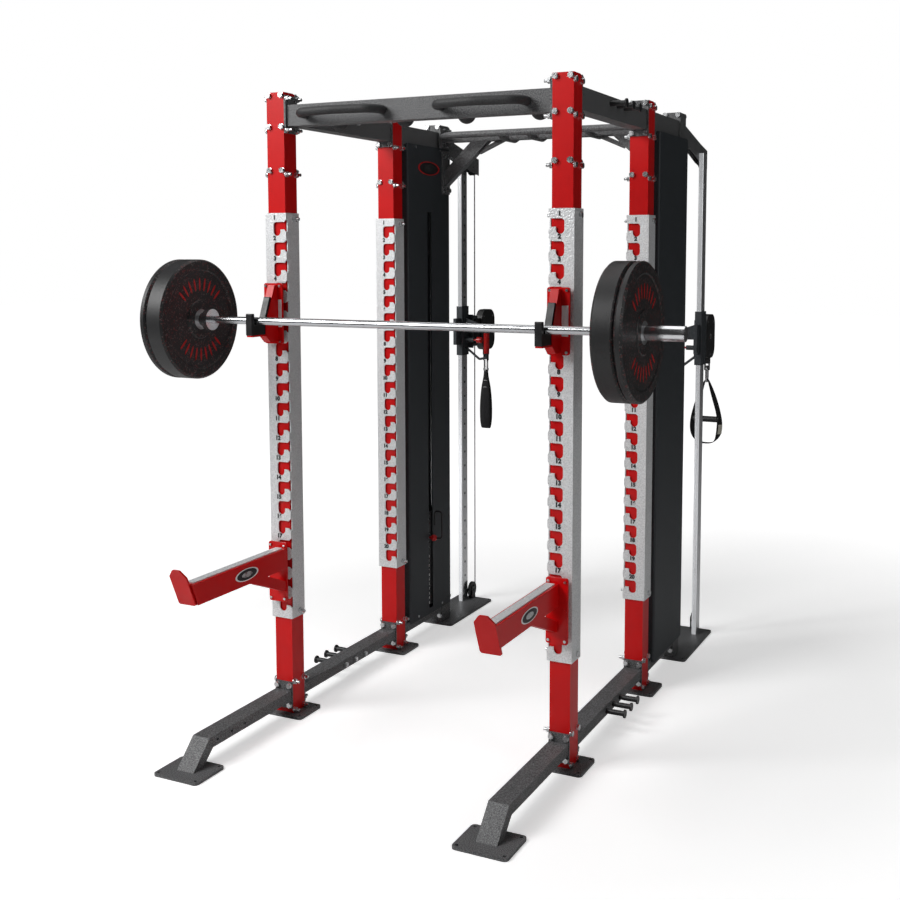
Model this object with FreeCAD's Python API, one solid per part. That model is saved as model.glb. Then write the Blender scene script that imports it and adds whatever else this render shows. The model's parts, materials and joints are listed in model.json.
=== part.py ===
"""Power rack with a free barbell and two adjustable pulley towers.

Millimetres, +Z up, +X to the right of somebody facing the rack, +Y to the rear.
Everything is laid out from the front post centre line (Y = 0 while building) and moved
at export so that the origin lies on the floor at the centre of the overall box.
Right-hand parts are drawn once and mirrored for the left.
"""
import FreeCAD
import Part
import math
import os

# ------------------------------------------------------------------ rack posts
POST_X = 580.0
POST_SIZE = 77.0
POST_WALL = 3.0
POST_TOP = 2402.0
POST_CROWN_RADIUS = 20.0
REAR_POST_Y = 807.4
PLATE_TOP = 10.8
POST_PLATE_HALF = 92.0
POST_PLATE_FRONT = 69.0
POST_PLATE_REAR = 80.0
PLATE_CORNER = 15.0
ANCHOR_RADIUS = 6.0
ANCHOR_INSET = 15.0

# ------------------------------------------------------------------ flanges and bolts
FLANGE = 8.0
TOP_FLANGE_Z = (2263.0, 2401.0)
BASE_FLANGE_Z = (30.0, 135.0)
BOLT_RADIUS = 6.0
HOLE_PLAY = 0.3
HEAD_ACROSS_CORNERS = 21.4
HEAD_HEIGHT = 7.5
NUT_HEIGHT = 9.0
STUD_END = 13.0
WASHER_RADIUS = 10.8
WASHER_HEIGHT = 2.0
BOLT_W = 28.0
BOLT_Y = 31.0
TOP_BOLT_Z = (2391.0, 2275.0)
SIDE_BOLT_Z = (2378.0, 2262.0)
SPARE_FRONT_BOLT_Z = 2113.0
SPARE_SIDE_BOLT_Z = 2098.0
BASE_BOLT_Z = (121.0, 43.0)
BASE_SIDE_BOLT_Z = (136.0, 23.0)
TOWER_BASE_BOLT_Z = (114.0, 43.0)
TOWER_BOLT_INSET = 15.0
PULL_UP_BOLT_Z = (2308.0, 2373.0)
BRACE_BOLT_Z = (2098.0, 2256.0)
BRACE_PAD = 6.0
BRACE_PAD_Z = (2080.0, 2282.0)
BRACE_Y = (1234.0, 1274.0)
BRACE_FOOT_Z = (2112.0, 2189.0)
BRACE_HEAD_X = (303.0, 393.0)
VENT_RADIUS = 10.0

# ------------------------------------------------------------------ notch strips
STRIP_HALF = 46.5
STRIP_SHEET = 4.0
STRIP_REAR = 38.0
STRIP_Z = (390.5, 1953.6)
STRIP_BOLT_Z = (1931.0, 412.0)
STRIP_BOLT_Y = 5.0
NOTCH_COUNT = 20
NOTCH_PITCH = 76.3
FIRST_NOTCH_TOP = 1920.0
NOTCH_MOUTH = 28.0
NOTCH_DROP = 52.0
NOTCH_W = (-20.7, 10.5)
STUD_X = POST_X + (NOTCH_W[0] + NOTCH_W[1]) / 2
NOTCH_CROWN = 12.0
MOUTH_FLARE = 12.0
MOUTH_DEPTH = 10.0

# ------------------------------------------------------------------ beams and rails
FRONT_BEAM_Z = (2276.0, 2354.0)
FRONT_BEAM_HALF = 30.0
FRONT_FLANGE_Z = (2250.0, 2390.0)
GRIP_RADIUS = 16.0
GRIP_X = (110.0, 455.0)
GRIP_REACH = 117.0
GRIP_BOW = 22.0
GRIP_SPLAY = 10.0
GRIP_BEND = 50.0
BALL_RADIUS = 34.0
BALL_X = (128.0, 418.0)
BALL_REACH = 150.0
BALL_Z = 2305.0
BALL_STEM = 10.0
PULL_UP_Z = 2345.0
PULL_UP_RADIUS = 15.0
PULL_UP_FRONT_Y = (1216.0, 1152.0)
PULL_UP_REAR_Y = (1290.0, 1375.0)
PULL_UP_BEND_X = (470.0, 440.0)
PULL_UP_PLATE_Y = (1196.0, 1310.0)
PULL_UP_PLATE_Z = (2293.0, 2386.0)
NEUTRAL_X = (70.0, 210.0)
NEUTRAL_RADIUS = 14.0
NEUTRAL_DROP = 18.0
NEUTRAL_RUN = 48.0
REAR_BEAM_Y = (1232.0, 1276.0)
REAR_BEAM_Z = (2321.0, 2357.0)
TOP_RAIL_HALF = 30.0
TOP_RAIL_Z = (2287.0, 2366.0)
BASE_RAIL_HALF = 36.0
BASE_RAIL_Z = (62.0, 102.0)
RAIL_WALL = 3.0
PEG_Y = (345.0, 420.0, 497.0)
PEG_RADIUS = 10.0
PEG_DISC = (16.0, 6.0)
TOP_PEG_Z = 2340.0
TOP_PEG_END = 674.0
BASE_PEG_Z = 80.0
BASE_PEG_END = 692.0
FOOT_BEND_Y = -541.0
FOOT_TOE_Y = -630.0
FOOT_HEEL_Y = -577.0
FOOT_INNER_BEND_Y = -522.0
FOOT_HOLE_Y = (-340.0, -416.0, -495.0)
FOOT_HOLE_Z = 82.0
FOOT_PAD_X = (485.0, 675.0)
FOOT_PAD_Y = (-687.0, -530.0)
FOOT_PAD_TOP = 10.0

# ------------------------------------------------------------------ pulley towers
UPRIGHT_Y = (1215.0, 1292.0)
UPRIGHT_TOP = 2400.0
REAR_PLATE_X = (484.0, 677.0)
REAR_PLATE_Y = (1195.0, 1657.0)
REAR_PLATE_TOP = 10.0
SHROUD_X = (538.0, 629.0)
SHROUD_Y = (893.0, 1290.0)
SHROUD_Z = (90.0, 2292.0)
SHROUD_SHEET = 2.0
SHROUD_CORNER = 9.0
STACK_Y = 1092.0
SLOT_HALF = 19.0
SLOT_Z = (117.0, 1990.0)
STACK_PLATES = 20
LIFTED_PLATES = 6
PLATE_PITCH = 22.5
PLATE_HEIGHT = 22.0
PLATE_HALF_X = 36.0
PLATE_HALF_Y = 110.0
STACK_FOOT = 131.0
GUIDE_RADIUS = 10.0
GUIDE_SPREAD = 85.0
ROD_YOKE_Z = (2180.0, 2188.0)
STEM_RADIUS = 11.0
STEM_TOP = 622.0
PIN_RADIUS = 4.5
CABLE_RADIUS = 3.0
CABLE_PIECE_GAP = 0.15
CABLE_WAY_RADIUS = 14.0
SHEAVE_CABLE_RADIUS = 36.0
SHEAVE_RIM = 40.0
SHEAVE_WIDTH = 12.0
SHEAVE_GROOVE = 8.0
AXLE_RADIUS = 6.0
RUNNING_GAP = 0.05
TOP_SHEAVE_Z = 2233.0
FOOT_SHEAVE_Z = 54.0

# ------------------------------------------------------------------ pulley columns
COLUMN_X = (605.5, 627.5)
COLUMN_Y = (1556.0, 1619.0)
COLUMN_TOP = 2255.0
COLUMN_HOLE = 5.5
COLUMN_HOLE_PITCH = 72.0
SWIVEL_X = 592.0
SWIVEL_Y = 1676.0
HEAD_SHEAVE_Y = SWIVEL_Y - SHEAVE_CABLE_RADIUS

# ------------------------------------------------------------------ carriage and swivel
CARRIAGE_X = (599.0, 634.0)
CARRIAGE_Y = (1550.0, 1625.0)
CARRIAGE_Z = (1287.0, 1534.0)
CARRIAGE_PLAY = 0.5
COLUMN_MID_Y = (COLUMN_Y[0] + COLUMN_Y[1]) / 2
HANDGRIP_X = 482.0
HANDGRIP_Z = (1298.0, 1400.0)
HANDGRIP_RADIUS = 14.0
POP_PIN_Z = 1364.0
POP_KNOB_X = (510.0, 534.0)
LUG_Z = ((1330.0, 1342.0), (1468.0, 1480.0))
LUG_HALF = 15.0
BARREL_RADIUS = 12.0
BARREL_BORE = 6.0
HOUSING_Y = (1724.0, 1880.0)
HOUSING_Z = (1300.0, 1510.0)
HOUSING_HALF = 17.5
HANDLE_Y = 1811.0
HANDLE_PIVOT_Z = 1250.0
CLEVIS_Z = (1240.0, 1275.0)
CLEVIS_PIN_RADIUS = 4.0
LINK_RADIUS = 4.5
LINK_BOTTOM_Z = 1184.5
WEB_SEAT = 7.0
CUFF_TOP = 1200.0
CUFF_FOLD_TOP = 1120.0
CUFF_BOTTOM = 874.0
STIRRUP_GRIP_Z = 1002.0
STIRRUP_BOTTOM = 883.0

# ------------------------------------------------------------------ hooks, arms, barbell
MOUNT_PLATE_Y = (-71.0, -63.0)
MOUNT_PLATE_HALF = 41.0
MOUNT_BLOCK_Y = (-63.0, -47.0)
STUD_RADIUS = 12.0
STUD_END_Y = -39.5
HOOK_PLATE_Z = (1462.0, 1690.0)
HOOK_NOTCHES = (3, 5)
HOOK_HALF_WIDTH = 12.5
HOOK_BRACKET_HALF = 15.0
HOOK_NOSE_TOP = (-90.0, 1684.0)
HOOK_NOSE = (-147.2, 1541.0)
HOOK_LIP_Y = -231.0
HOOK_KEEL = 6.0
CRADLE_BASE = 1502.0
PAD_TOP = 1640.0
PAD_THICKNESS = 12.0
LIP_TOP = 1582.0
PLATE_SCREW_W = 31.0
ARM_PLATE_Z = (463.0, 696.0)
ARM_NOTCHES = (16, 18)
ARM_W = (-42.0, 6.0)
ARM_Z = (596.0, 675.0)
ARM_TIP = (-597.0, 594.0)
ARM_TIP_TOP = (-655.0, 730.0)
ARM_END_PLATE = 8.8
BAR_Y = -195.5
BAR_Z = 1554.8
BAR_RADIUS = 14.0
SLEEVE_RADIUS = 25.0
SLEEVE_X = (767.0, 1055.5)
SLEEVE_COLLAR = (40.0, 23.0)
SLEEVE_NECK = (28.0, 30.0)
BUMPER_RADIUS = 225.0
THICK_BUMPER_X = (820.0, 893.0)
THIN_BUMPER_X = (895.0, 923.0)
SEAT_GAP = 0.1

# ------------------------------------------------------------------ overall box
Y_FRONT = FOOT_PAD_Y[0]
Y_REAR = HOUSING_Y[1]
Y_MIDDLE = (Y_FRONT + Y_REAR) / 2

AXIS = {
    "X": FreeCAD.Vector(1, 0, 0),
    "Y": FreeCAD.Vector(0, 1, 0),
    "Z": FreeCAD.Vector(0, 0, 1),
}
ORIGIN = FreeCAD.Vector(0, 0, 0)
MOVE_TO_ORIGIN = FreeCAD.Vector(0, -Y_MIDDLE, 0)


# ------------------------------------------------------------------ shape helpers
def vec(x, y, z):
    return FreeCAD.Vector(x, y, z)


def box(x, y, z):
    """Box between the (low, high) pairs x, y and z."""
    return Part.makeBox(x[1] - x[0], y[1] - y[0], z[1] - z[0], vec(x[0], y[0], z[0]))


def rod(start, axis, radius, length):
    return Part.makeCylinder(radius, length, start, AXIS[axis])


def ring(start, axis, outer, inner, length):
    return rod(start, axis, outer, length).cut(rod(start, axis, inner, length))


def fuse(shapes):
    """One welded piece."""
    shapes = list(shapes)
    return shapes[0].multiFuse(shapes[1:]).removeSplitter() if len(shapes) > 1 else shapes[0]


def group(shapes):
    return Part.makeCompound(list(shapes))


def mirrored(shape):
    return shape.mirror(ORIGIN, AXIS["X"])


def moved(shape, x=0.0, y=0.0, z=0.0):
    copy = shape.copy()
    copy.translate(vec(x, y, z))
    return copy


def both(shape):
    return [shape, mirrored(shape)]


def rounded_path(points, radius, closed=False):
    """Wire through the points with every corner turned by an arc of the given radius."""
    points = [FreeCAD.Vector(p) for p in points]
    count = len(points)
    edges = []
    last = None
    first = None
    for i in range(count):
        here = points[i]
        if not closed and i in (0, count - 1):
            enter = leave = here
        else:
            before = (points[i - 1] - here).normalize()
            after = (points[(i + 1) % count] - here).normalize()
            half = before.getAngle(after) / 2
            reach = radius / math.tan(half)
            enter = here + before * reach
            leave = here + after * reach
            centre = here + (before + after).normalize() * (radius / math.sin(half))
            middle = centre + (here - centre).normalize() * radius
            arc = Part.Arc(enter, middle, leave).toShape()
        if last is not None and (enter - last).Length > 1e-6:
            edges.append(Part.makeLine(last, enter))
        if (leave - enter).Length > 1e-6:
            edges.append(arc)
        last = leave
        first = enter if first is None else first
    if closed and (first - last).Length > 1e-6:
        edges.append(Part.makeLine(last, first))
    return Part.Wire(edges)


def bent_rod(points, radius, bend, closed=False):
    """Round bar following a path with rounded corners."""
    path = rounded_path(points, bend, closed)
    start = path.Edges[0].valueAt(path.Edges[0].FirstParameter)
    direction = path.Edges[0].tangentAt(path.Edges[0].FirstParameter)
    circle = Part.Wire([Part.makeCircle(radius, start, direction)])
    return path.makePipeShell([circle], True, False)


def in_plane(plane, a, b, depth):
    if plane == "XY":
        return vec(a, b, depth)
    if plane == "XZ":
        return vec(a, depth, b)
    return vec(depth, a, b)


def prism(plane, outline, depth, corner=0.0):
    """Outline in a plane, extruded between the (low, high) pair depth."""
    points = [in_plane(plane, a, b, depth[0]) for a, b in outline]
    if corner > 0:
        wire = rounded_path(points, corner, closed=True)
    else:
        wire = Part.makePolygon(points + points[:1])
    return Part.Face(wire).extrude(in_plane(plane, 0, 0, depth[1] - depth[0]))


def rectangle(a, b):
    return [(a[0], b[0]), (a[1], b[0]), (a[1], b[1]), (a[0], b[1])]


def spin(outline, centre, start_x):
    """Solid of revolution about an X-parallel axis; outline holds (x, radius) pairs."""
    points = [vec(start_x + x, centre.y, centre.z + r) for x, r in outline]
    face = Part.Face(Part.makePolygon(points + points[:1]))
    return face.revolve(centre, AXIS["X"], 360)


# ------------------------------------------------------------------ bolts
def bolt(x, y, z, direction, grip):
    """A hex bolt: head before the point, nut and thread end past the gripped length."""
    return {"at": vec(x, y, z), "direction": direction, "grip": grip}


def bolt_vector(item):
    sign = -1 if item["direction"][0] == "-" else 1
    return AXIS[item["direction"][1]] * sign


def hexagon(at, direction, height):
    face_turn = AXIS["Z"] if abs(direction.z) < 0.5 else AXIS["X"]
    side = direction.cross(face_turn)
    corner = HEAD_ACROSS_CORNERS / 2
    points = []
    for i in range(6):
        angle = math.radians(60 * i)
        points.append(at + face_turn * (corner * math.cos(angle)) + side * (corner * math.sin(angle)))
    return Part.Face(Part.makePolygon(points + points[:1])).extrude(direction * height)


def bolt_shape(item):
    at = item["at"]
    d = bolt_vector(item)
    grip = item["grip"]
    length = grip + WASHER_HEIGHT + NUT_HEIGHT + STUD_END
    return fuse([
        Part.makeCylinder(WASHER_RADIUS, WASHER_HEIGHT, at - d * WASHER_HEIGHT, d),
        hexagon(at - d * (WASHER_HEIGHT + HEAD_HEIGHT), d, HEAD_HEIGHT),
        Part.makeCylinder(BOLT_RADIUS, length, at, d),
        Part.makeCylinder(WASHER_RADIUS, WASHER_HEIGHT, at + d * grip, d),
        hexagon(at + d * (grip + WASHER_HEIGHT), d, NUT_HEIGHT),
    ])


def drilled(shape, bolts):
    """Bore a clearance hole for every bolt that passes through the shape."""
    holes = []
    for item in bolts:
        hole = Part.makeCylinder(
            BOLT_RADIUS + HOLE_PLAY, item["grip"] + 2, item["at"] - bolt_vector(item), bolt_vector(item)
        )
        if hole.BoundBox.intersect(shape.BoundBox):
            holes.append(hole)
    return shape.cut(holes) if holes else shape


def mirrored_bolts(bolts):
    flip = {"+X": "-X", "-X": "+X"}
    result = []
    for item in bolts:
        at = item["at"]
        result.append(bolt(-at.x, at.y, at.z, flip.get(item["direction"], item["direction"]), item["grip"]))
    return result


def post_bolts():
    """Right-hand bolts of the front and rear posts."""
    half = POST_SIZE / 2
    outer = POST_X + half
    bolts = []
    for w in (-BOLT_W, BOLT_W):
        for z in TOP_BOLT_Z:
            bolts.append(bolt(POST_X + w, -half, z, "+Y", POST_SIZE + FLANGE))
            bolts.append(bolt(POST_X + w, REAR_POST_Y - half - FLANGE, z, "+Y", POST_SIZE + 2 * FLANGE))
        for z in BASE_BOLT_Z:
            bolts.append(bolt(POST_X + w, -half - FLANGE, z, "+Y", POST_SIZE + 2 * FLANGE))
            bolts.append(bolt(POST_X + w, REAR_POST_Y - half - FLANGE, z, "+Y", POST_SIZE + 2 * FLANGE))
        for post_y in (0.0, REAR_POST_Y):
            bolts.append(bolt(POST_X + w, post_y - half, SPARE_FRONT_BOLT_Z, "+Y", POST_SIZE))
    for y in (-BOLT_Y, BOLT_Y):
        for z in SIDE_BOLT_Z:
            bolts.append(bolt(outer, y, z, "-X", POST_SIZE + FLANGE))
            bolts.append(bolt(outer, REAR_POST_Y + y, z, "-X", POST_SIZE))
        for post_y in (0.0, REAR_POST_Y):
            for z in (SPARE_SIDE_BOLT_Z,) + BASE_SIDE_BOLT_Z:
                bolts.append(bolt(outer, post_y + y, z, "-X", POST_SIZE))
    for post_y in (0.0, REAR_POST_Y):
        for z in STRIP_BOLT_Z:
            bolts.append(bolt(POST_X + STRIP_HALF, post_y + STRIP_BOLT_Y, z, "-X", 2 * STRIP_HALF))
    return bolts


def tower_bolts():
    """Right-hand bolts of the tower uprights."""
    inner = POST_X - POST_SIZE / 2
    bolts = []
    for w in (-BOLT_W, BOLT_W):
        for z in TOP_BOLT_Z:
            bolts.append(bolt(POST_X + w, UPRIGHT_Y[0] - FLANGE, z, "+Y", POST_SIZE + FLANGE))
        for z in TOWER_BASE_BOLT_Z:
            bolts.append(bolt(POST_X + w, UPRIGHT_Y[0] - FLANGE, z, "+Y", POST_SIZE + FLANGE))
    for y in (UPRIGHT_Y[0] + TOWER_BOLT_INSET, UPRIGHT_Y[1] - TOWER_BOLT_INSET):
        for z in PULL_UP_BOLT_Z:
            bolts.append(bolt(inner - FLANGE, y, z, "+X", FLANGE + POST_WALL))
        brace_face = SHROUD_X[0] - BRACE_PAD
        for z in BRACE_BOLT_Z:
            bolts.append(bolt(brace_face, y, z, "+X", inner + POST_WALL - brace_face))
    return bolts


# ------------------------------------------------------------------ welded frame
def square_tube(y_middle, z):
    half = POST_SIZE / 2
    inner = half - POST_WALL
    outside = box((POST_X - half, POST_X + half), (y_middle - half, y_middle + half), z)
    inside = box(
        (POST_X - inner, POST_X + inner),
        (y_middle - inner, y_middle + inner),
        (z[0], z[1] - POST_WALL),
    )
    return outside, inside


def post(y_middle):
    """Closed at the top, with the crown rounded off towards the rear."""
    outside, inside = square_tube(y_middle, (PLATE_TOP, POST_TOP))
    rear_y = y_middle + POST_SIZE / 2
    edges = [e for e in outside.Edges if is_rear_crown(e, rear_y)]
    return outside.makeFillet(POST_CROWN_RADIUS, edges).cut(lowered_core(inside))


def is_rear_crown(edge, rear_y):
    box_of = edge.BoundBox
    return abs(box_of.ZMin - POST_TOP) < 0.1 and abs(box_of.YMin - rear_y) < 0.1 and box_of.YLength < 0.1


def lowered_core(inside):
    """The hollow stops below the rounded crown so that the cap keeps its thickness."""
    top = inside.BoundBox.ZMax - POST_CROWN_RADIUS / 2
    keep = box((-2000, 2000), (-2000, 3000), (0, top))
    return inside.common(keep)


def anchored_plate(x, y, top):
    """Rounded floor plate with an anchor hole in each corner."""
    plate = prism("XY", rectangle(x, y), (0.0, top), PLATE_CORNER)
    holes = []
    for hole_x in (x[0] + ANCHOR_INSET, x[1] - ANCHOR_INSET):
        for hole_y in (y[0] + ANCHOR_INSET, y[1] - ANCHOR_INSET):
            holes.append(rod(vec(hole_x, hole_y, -1), "Z", ANCHOR_RADIUS, top + 2))
    return plate.cut(holes)


def floor_plates():
    x = (POST_X - POST_PLATE_HALF, POST_X + POST_PLATE_HALF)
    plates = []
    for post_y in (0.0, REAR_POST_Y):
        y = (post_y - POST_PLATE_FRONT, post_y + POST_PLATE_REAR)
        plates.append(anchored_plate(x, y, PLATE_TOP))
    plates.append(anchored_plate(REAR_PLATE_X, REAR_PLATE_Y, REAR_PLATE_TOP))
    return plates


def notch_cutter(top):
    """One notch: flared mouth on the rack side, level entry, and a drop slot for a stud."""
    through = (-STRIP_HALF - 1, -STRIP_HALF + STRIP_SHEET + 1)
    mouth_depth = (-STRIP_HALF - 1, -STRIP_HALF + MOUTH_DEPTH)
    left, right = POST_X + NOTCH_W[0], POST_X + NOTCH_W[1]
    edge = POST_X - STRIP_HALF - 1
    drop_radius = (right - left) / 2
    crown = vec(right - NOTCH_CROWN, through[0], top - NOTCH_CROWN)
    drop = vec(left + drop_radius, through[0], top - NOTCH_DROP + drop_radius)
    mouth = [
        (edge, top + MOUTH_FLARE),
        (edge + MOUTH_DEPTH + 1, top),
        (edge + MOUTH_DEPTH + 1, top - NOTCH_MOUTH),
        (edge, top - NOTCH_MOUTH - MOUTH_FLARE),
    ]
    depth = through[1] - through[0]
    return fuse([
        prism("XZ", mouth, mouth_depth),
        box((edge, right - NOTCH_CROWN), through, (top - NOTCH_MOUTH, top)),
        box((left, right), through, (drop.z, top - NOTCH_CROWN)),
        rod(crown, "Y", NOTCH_CROWN, depth),
        rod(drop, "Y", drop_radius, depth),
    ])


def notch_strip():
    """Folded channel round the front of a post, notched from top to bottom."""
    inner = STRIP_HALF - STRIP_SHEET
    x = (POST_X - STRIP_HALF, POST_X + STRIP_HALF)
    channel = box(x, (-STRIP_HALF, STRIP_REAR), STRIP_Z)
    hollow = box((POST_X - inner, POST_X + inner), (-inner, STRIP_REAR + 1), (0, POST_TOP))
    channel = channel.cut(hollow)
    first = notch_cutter(FIRST_NOTCH_TOP)
    cutters = [moved(first, z=-NOTCH_PITCH * i) for i in range(NOTCH_COUNT)]
    return channel.cut(cutters)


def strip_spacers(post_y):
    """Collars that hold a notch strip off its post."""
    gap = STRIP_HALF - STRIP_SHEET - POST_SIZE / 2
    spacers = []
    for z in STRIP_BOLT_Z:
        for x in (POST_X + POST_SIZE / 2, POST_X - POST_SIZE / 2 - gap):
            at = vec(x, post_y + STRIP_BOLT_Y, z)
            spacers.append(ring(at, "X", WASHER_RADIUS, BOLT_RADIUS + HOLE_PLAY, gap))
    return spacers


def flanged_rail(half, z, y, flange_z):
    """Hollow rail along Y between two end flanges."""
    x = (POST_X - half, POST_X + half)
    outside = box(x, (y[0] + FLANGE, y[1] - FLANGE), z)
    inside = box(
        (x[0] + RAIL_WALL, x[1] - RAIL_WALL),
        (y[0] + FLANGE, y[1] - FLANGE),
        (z[0] + RAIL_WALL, z[1] - RAIL_WALL),
    )
    ends = (POST_X - POST_SIZE / 2, POST_X + POST_SIZE / 2)
    drain = vec(POST_X, y[0] - 1, (z[0] + z[1]) / 2)
    front = box(ends, (y[0], y[0] + FLANGE), flange_z)
    rear = box(ends, (y[1] - FLANGE, y[1]), flange_z)
    rail = fuse([front, outside.cut(inside), rear])
    return rail.cut(rod(drain, "Y", VENT_RADIUS, y[1] - y[0] + 2))


def rail_spans():
    half = POST_SIZE / 2
    return [(half, REAR_POST_Y - half), (REAR_POST_Y + half, UPRIGHT_Y[0])]


def top_rails():
    rails = [flanged_rail(TOP_RAIL_HALF, TOP_RAIL_Z, span, TOP_FLANGE_Z) for span in rail_spans()]
    return [rail.cut(cable_way()) for rail in rails]


def base_rails():
    return [flanged_rail(BASE_RAIL_HALF, BASE_RAIL_Z, span, BASE_FLANGE_Z) for span in rail_spans()]


def front_foot():
    """Long outrigger: flange, level beam, sloping leg and floor pad in one weldment."""
    x = (POST_X - BASE_RAIL_HALF, POST_X + BASE_RAIL_HALF)
    back = -POST_SIZE / 2 - FLANGE
    low, high = BASE_RAIL_Z
    outline = [
        (back, low),
        (back, high),
        (FOOT_BEND_Y, high),
        (FOOT_TOE_Y, FOOT_PAD_TOP),
        (FOOT_HEEL_Y, FOOT_PAD_TOP),
        (FOOT_INNER_BEND_Y, low),
    ]
    ends = (POST_X - POST_SIZE / 2, POST_X + POST_SIZE / 2)
    foot = fuse([
        prism("YZ", outline, x),
        box(ends, (back, back + FLANGE), BASE_FLANGE_Z),
        anchored_plate(FOOT_PAD_X, FOOT_PAD_Y, FOOT_PAD_TOP),
    ])
    hollow = box(
        (x[0] + RAIL_WALL, x[1] - RAIL_WALL), (FOOT_INNER_BEND_Y, back), (low + RAIL_WALL, high - RAIL_WALL)
    )
    drain = rod(vec(POST_X, back - 1, (low + high) / 2), "Y", VENT_RADIUS, FLANGE + 2)
    holes = [rod(vec(x[0] - 1, y, FOOT_HOLE_Z), "X", 5.0, RAIL_WALL + 2) for y in FOOT_HOLE_Y]
    return foot.cut([hollow, drain] + holes)


def front_cross_beam():
    inner = POST_X - POST_SIZE / 2
    y = (-FRONT_BEAM_HALF, FRONT_BEAM_HALF)
    reach = inner - FLANGE
    beam = box((-reach, reach), y, FRONT_BEAM_Z)
    hollow = box(
        (-reach, reach),
        (y[0] + RAIL_WALL, y[1] - RAIL_WALL),
        (FRONT_BEAM_Z[0] + RAIL_WALL, FRONT_BEAM_Z[1] - RAIL_WALL),
    )
    end_y = (-POST_SIZE / 2, POST_SIZE / 2)
    ends = both(box((reach, inner), end_y, FRONT_FLANGE_Z))
    drain = rod(vec(-inner - 1, 0, sum(FRONT_BEAM_Z) / 2), "X", VENT_RADIUS, 2 * inner + 2)
    return fuse([beam.cut(hollow)] + ends).cut(drain)


def front_grips():
    """A bowed bar grip and two ball grips on each half of the front beam."""
    z = sum(FRONT_BEAM_Z) / 2
    front = -FRONT_BEAM_HALF
    middle = sum(GRIP_X) / 2
    bar = bent_rod(
        [
            (GRIP_X[0] + GRIP_SPLAY, front, z),
            (GRIP_X[0], -GRIP_REACH + GRIP_BOW, z),
            (middle, -GRIP_REACH, z),
            (GRIP_X[1], -GRIP_REACH + GRIP_BOW, z),
            (GRIP_X[1] - GRIP_SPLAY, front, z),
        ],
        GRIP_RADIUS,
        GRIP_BEND,
    )
    grips = [bar.cut(box((0, POST_X), (front, 0), FRONT_BEAM_Z))]
    for x in BALL_X:
        stem = rod(vec(x, FRONT_BEAM_HALF, BALL_Z), "Y", BALL_STEM, BALL_REACH - FRONT_BEAM_HALF)
        grips.append(fuse([stem, Part.makeSphere(BALL_RADIUS, vec(x, BALL_REACH, BALL_Z))]))
    return grips


def peg(rail_face, end, y, z):
    """Band peg with an end disc, its threaded tail through the rail and a nut inside."""
    width = 2 * (rail_face - POST_X)
    inner_face = rail_face - width
    nut = hexagon(vec(inner_face, y, z), -AXIS["X"], NUT_HEIGHT)
    return fuse([
        rod(vec(rail_face, y, z), "X", PEG_RADIUS, end - rail_face),
        rod(vec(end - PEG_DISC[1], y, z), "X", PEG_DISC[0], PEG_DISC[1]),
        rod(vec(inner_face - NUT_HEIGHT - 3, y, z), "X", BOLT_RADIUS, width + NUT_HEIGHT + 4),
        nut,
    ])


def peg_places():
    top = [(POST_X + TOP_RAIL_HALF, TOP_PEG_END, y, TOP_PEG_Z) for y in PEG_Y]
    base = [(POST_X + BASE_RAIL_HALF, BASE_PEG_END, y, BASE_PEG_Z) for y in PEG_Y]
    return top + base


def peg_holes():
    """The peg tails, described as bolts so that the rails are drilled for them."""
    return [bolt(face, y, z, "-X", 2 * (face - POST_X)) for face, end, y, z in peg_places()]


# ------------------------------------------------------------------ rear of the rack
def bowed_tube(end_y, middle_y, bend_x, reach, bend):
    """Cross tube that leaves both end plates at end_y and runs level at middle_y."""
    path = [
        (-reach, end_y, PULL_UP_Z),
        (-bend_x, middle_y, PULL_UP_Z),
        (bend_x, middle_y, PULL_UP_Z),
        (reach, end_y, PULL_UP_Z),
    ]
    return bent_rod(path, PULL_UP_RADIUS, bend)


def neutral_grip(x):
    """Short grip that dips between the two cross tubes."""
    low = PULL_UP_Z - NEUTRAL_DROP
    front_y, rear_y = PULL_UP_FRONT_Y[1], PULL_UP_REAR_Y[1]
    path = [
        (x, front_y, PULL_UP_Z),
        (x, front_y + NEUTRAL_RUN, low),
        (x, rear_y - NEUTRAL_RUN, low),
        (x, rear_y, PULL_UP_Z),
    ]
    return bent_rod(path, NEUTRAL_RADIUS, 40.0)


def rear_pull_up_bar():
    """Two cross tubes, four short neutral grips, a middle beam and the end plates."""
    inner = POST_X - POST_SIZE / 2
    face = inner - FLANGE
    pieces = [
        bowed_tube(PULL_UP_FRONT_Y[0], PULL_UP_FRONT_Y[1], PULL_UP_BEND_X[0], face, 60.0),
        bowed_tube(PULL_UP_REAR_Y[0], PULL_UP_REAR_Y[1], PULL_UP_BEND_X[1], face, 80.0),
        box((-face, face), REAR_BEAM_Y, REAR_BEAM_Z),
    ]
    for x in NEUTRAL_X:
        pieces += [neutral_grip(x), neutral_grip(-x)]
    pieces += both(box((face, inner), PULL_UP_PLATE_Y, PULL_UP_PLATE_Z))
    beyond = both(box((inner, POST_X + POST_SIZE), SHROUD_Y, (BRACE_PAD_Z[0], POST_TOP)))
    return fuse(pieces).cut(beyond)


def knee_brace():
    """Sloping box strut between the tower upright and the rear middle beam, with a thin tie."""
    seat = SHROUD_X[0] - BRACE_PAD
    head = REAR_BEAM_Z[0]
    pad = box((seat, SHROUD_X[0]), (UPRIGHT_Y[0], SHROUD_Y[1]), BRACE_PAD_Z)
    outline = [(seat, BRACE_FOOT_Z[0]), (seat, BRACE_FOOT_Z[1]), (BRACE_HEAD_X[1], head), (BRACE_HEAD_X[0], head)]
    tie = [(352, 2262), (362, 2278), (266, head), (227, head), (227, head - 5)]
    tie_y = (BRACE_Y[0] + 12, BRACE_Y[1] - 12)
    return fuse([pad, prism("XZ", outline, BRACE_Y), prism("XZ", tie, tie_y)])


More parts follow.
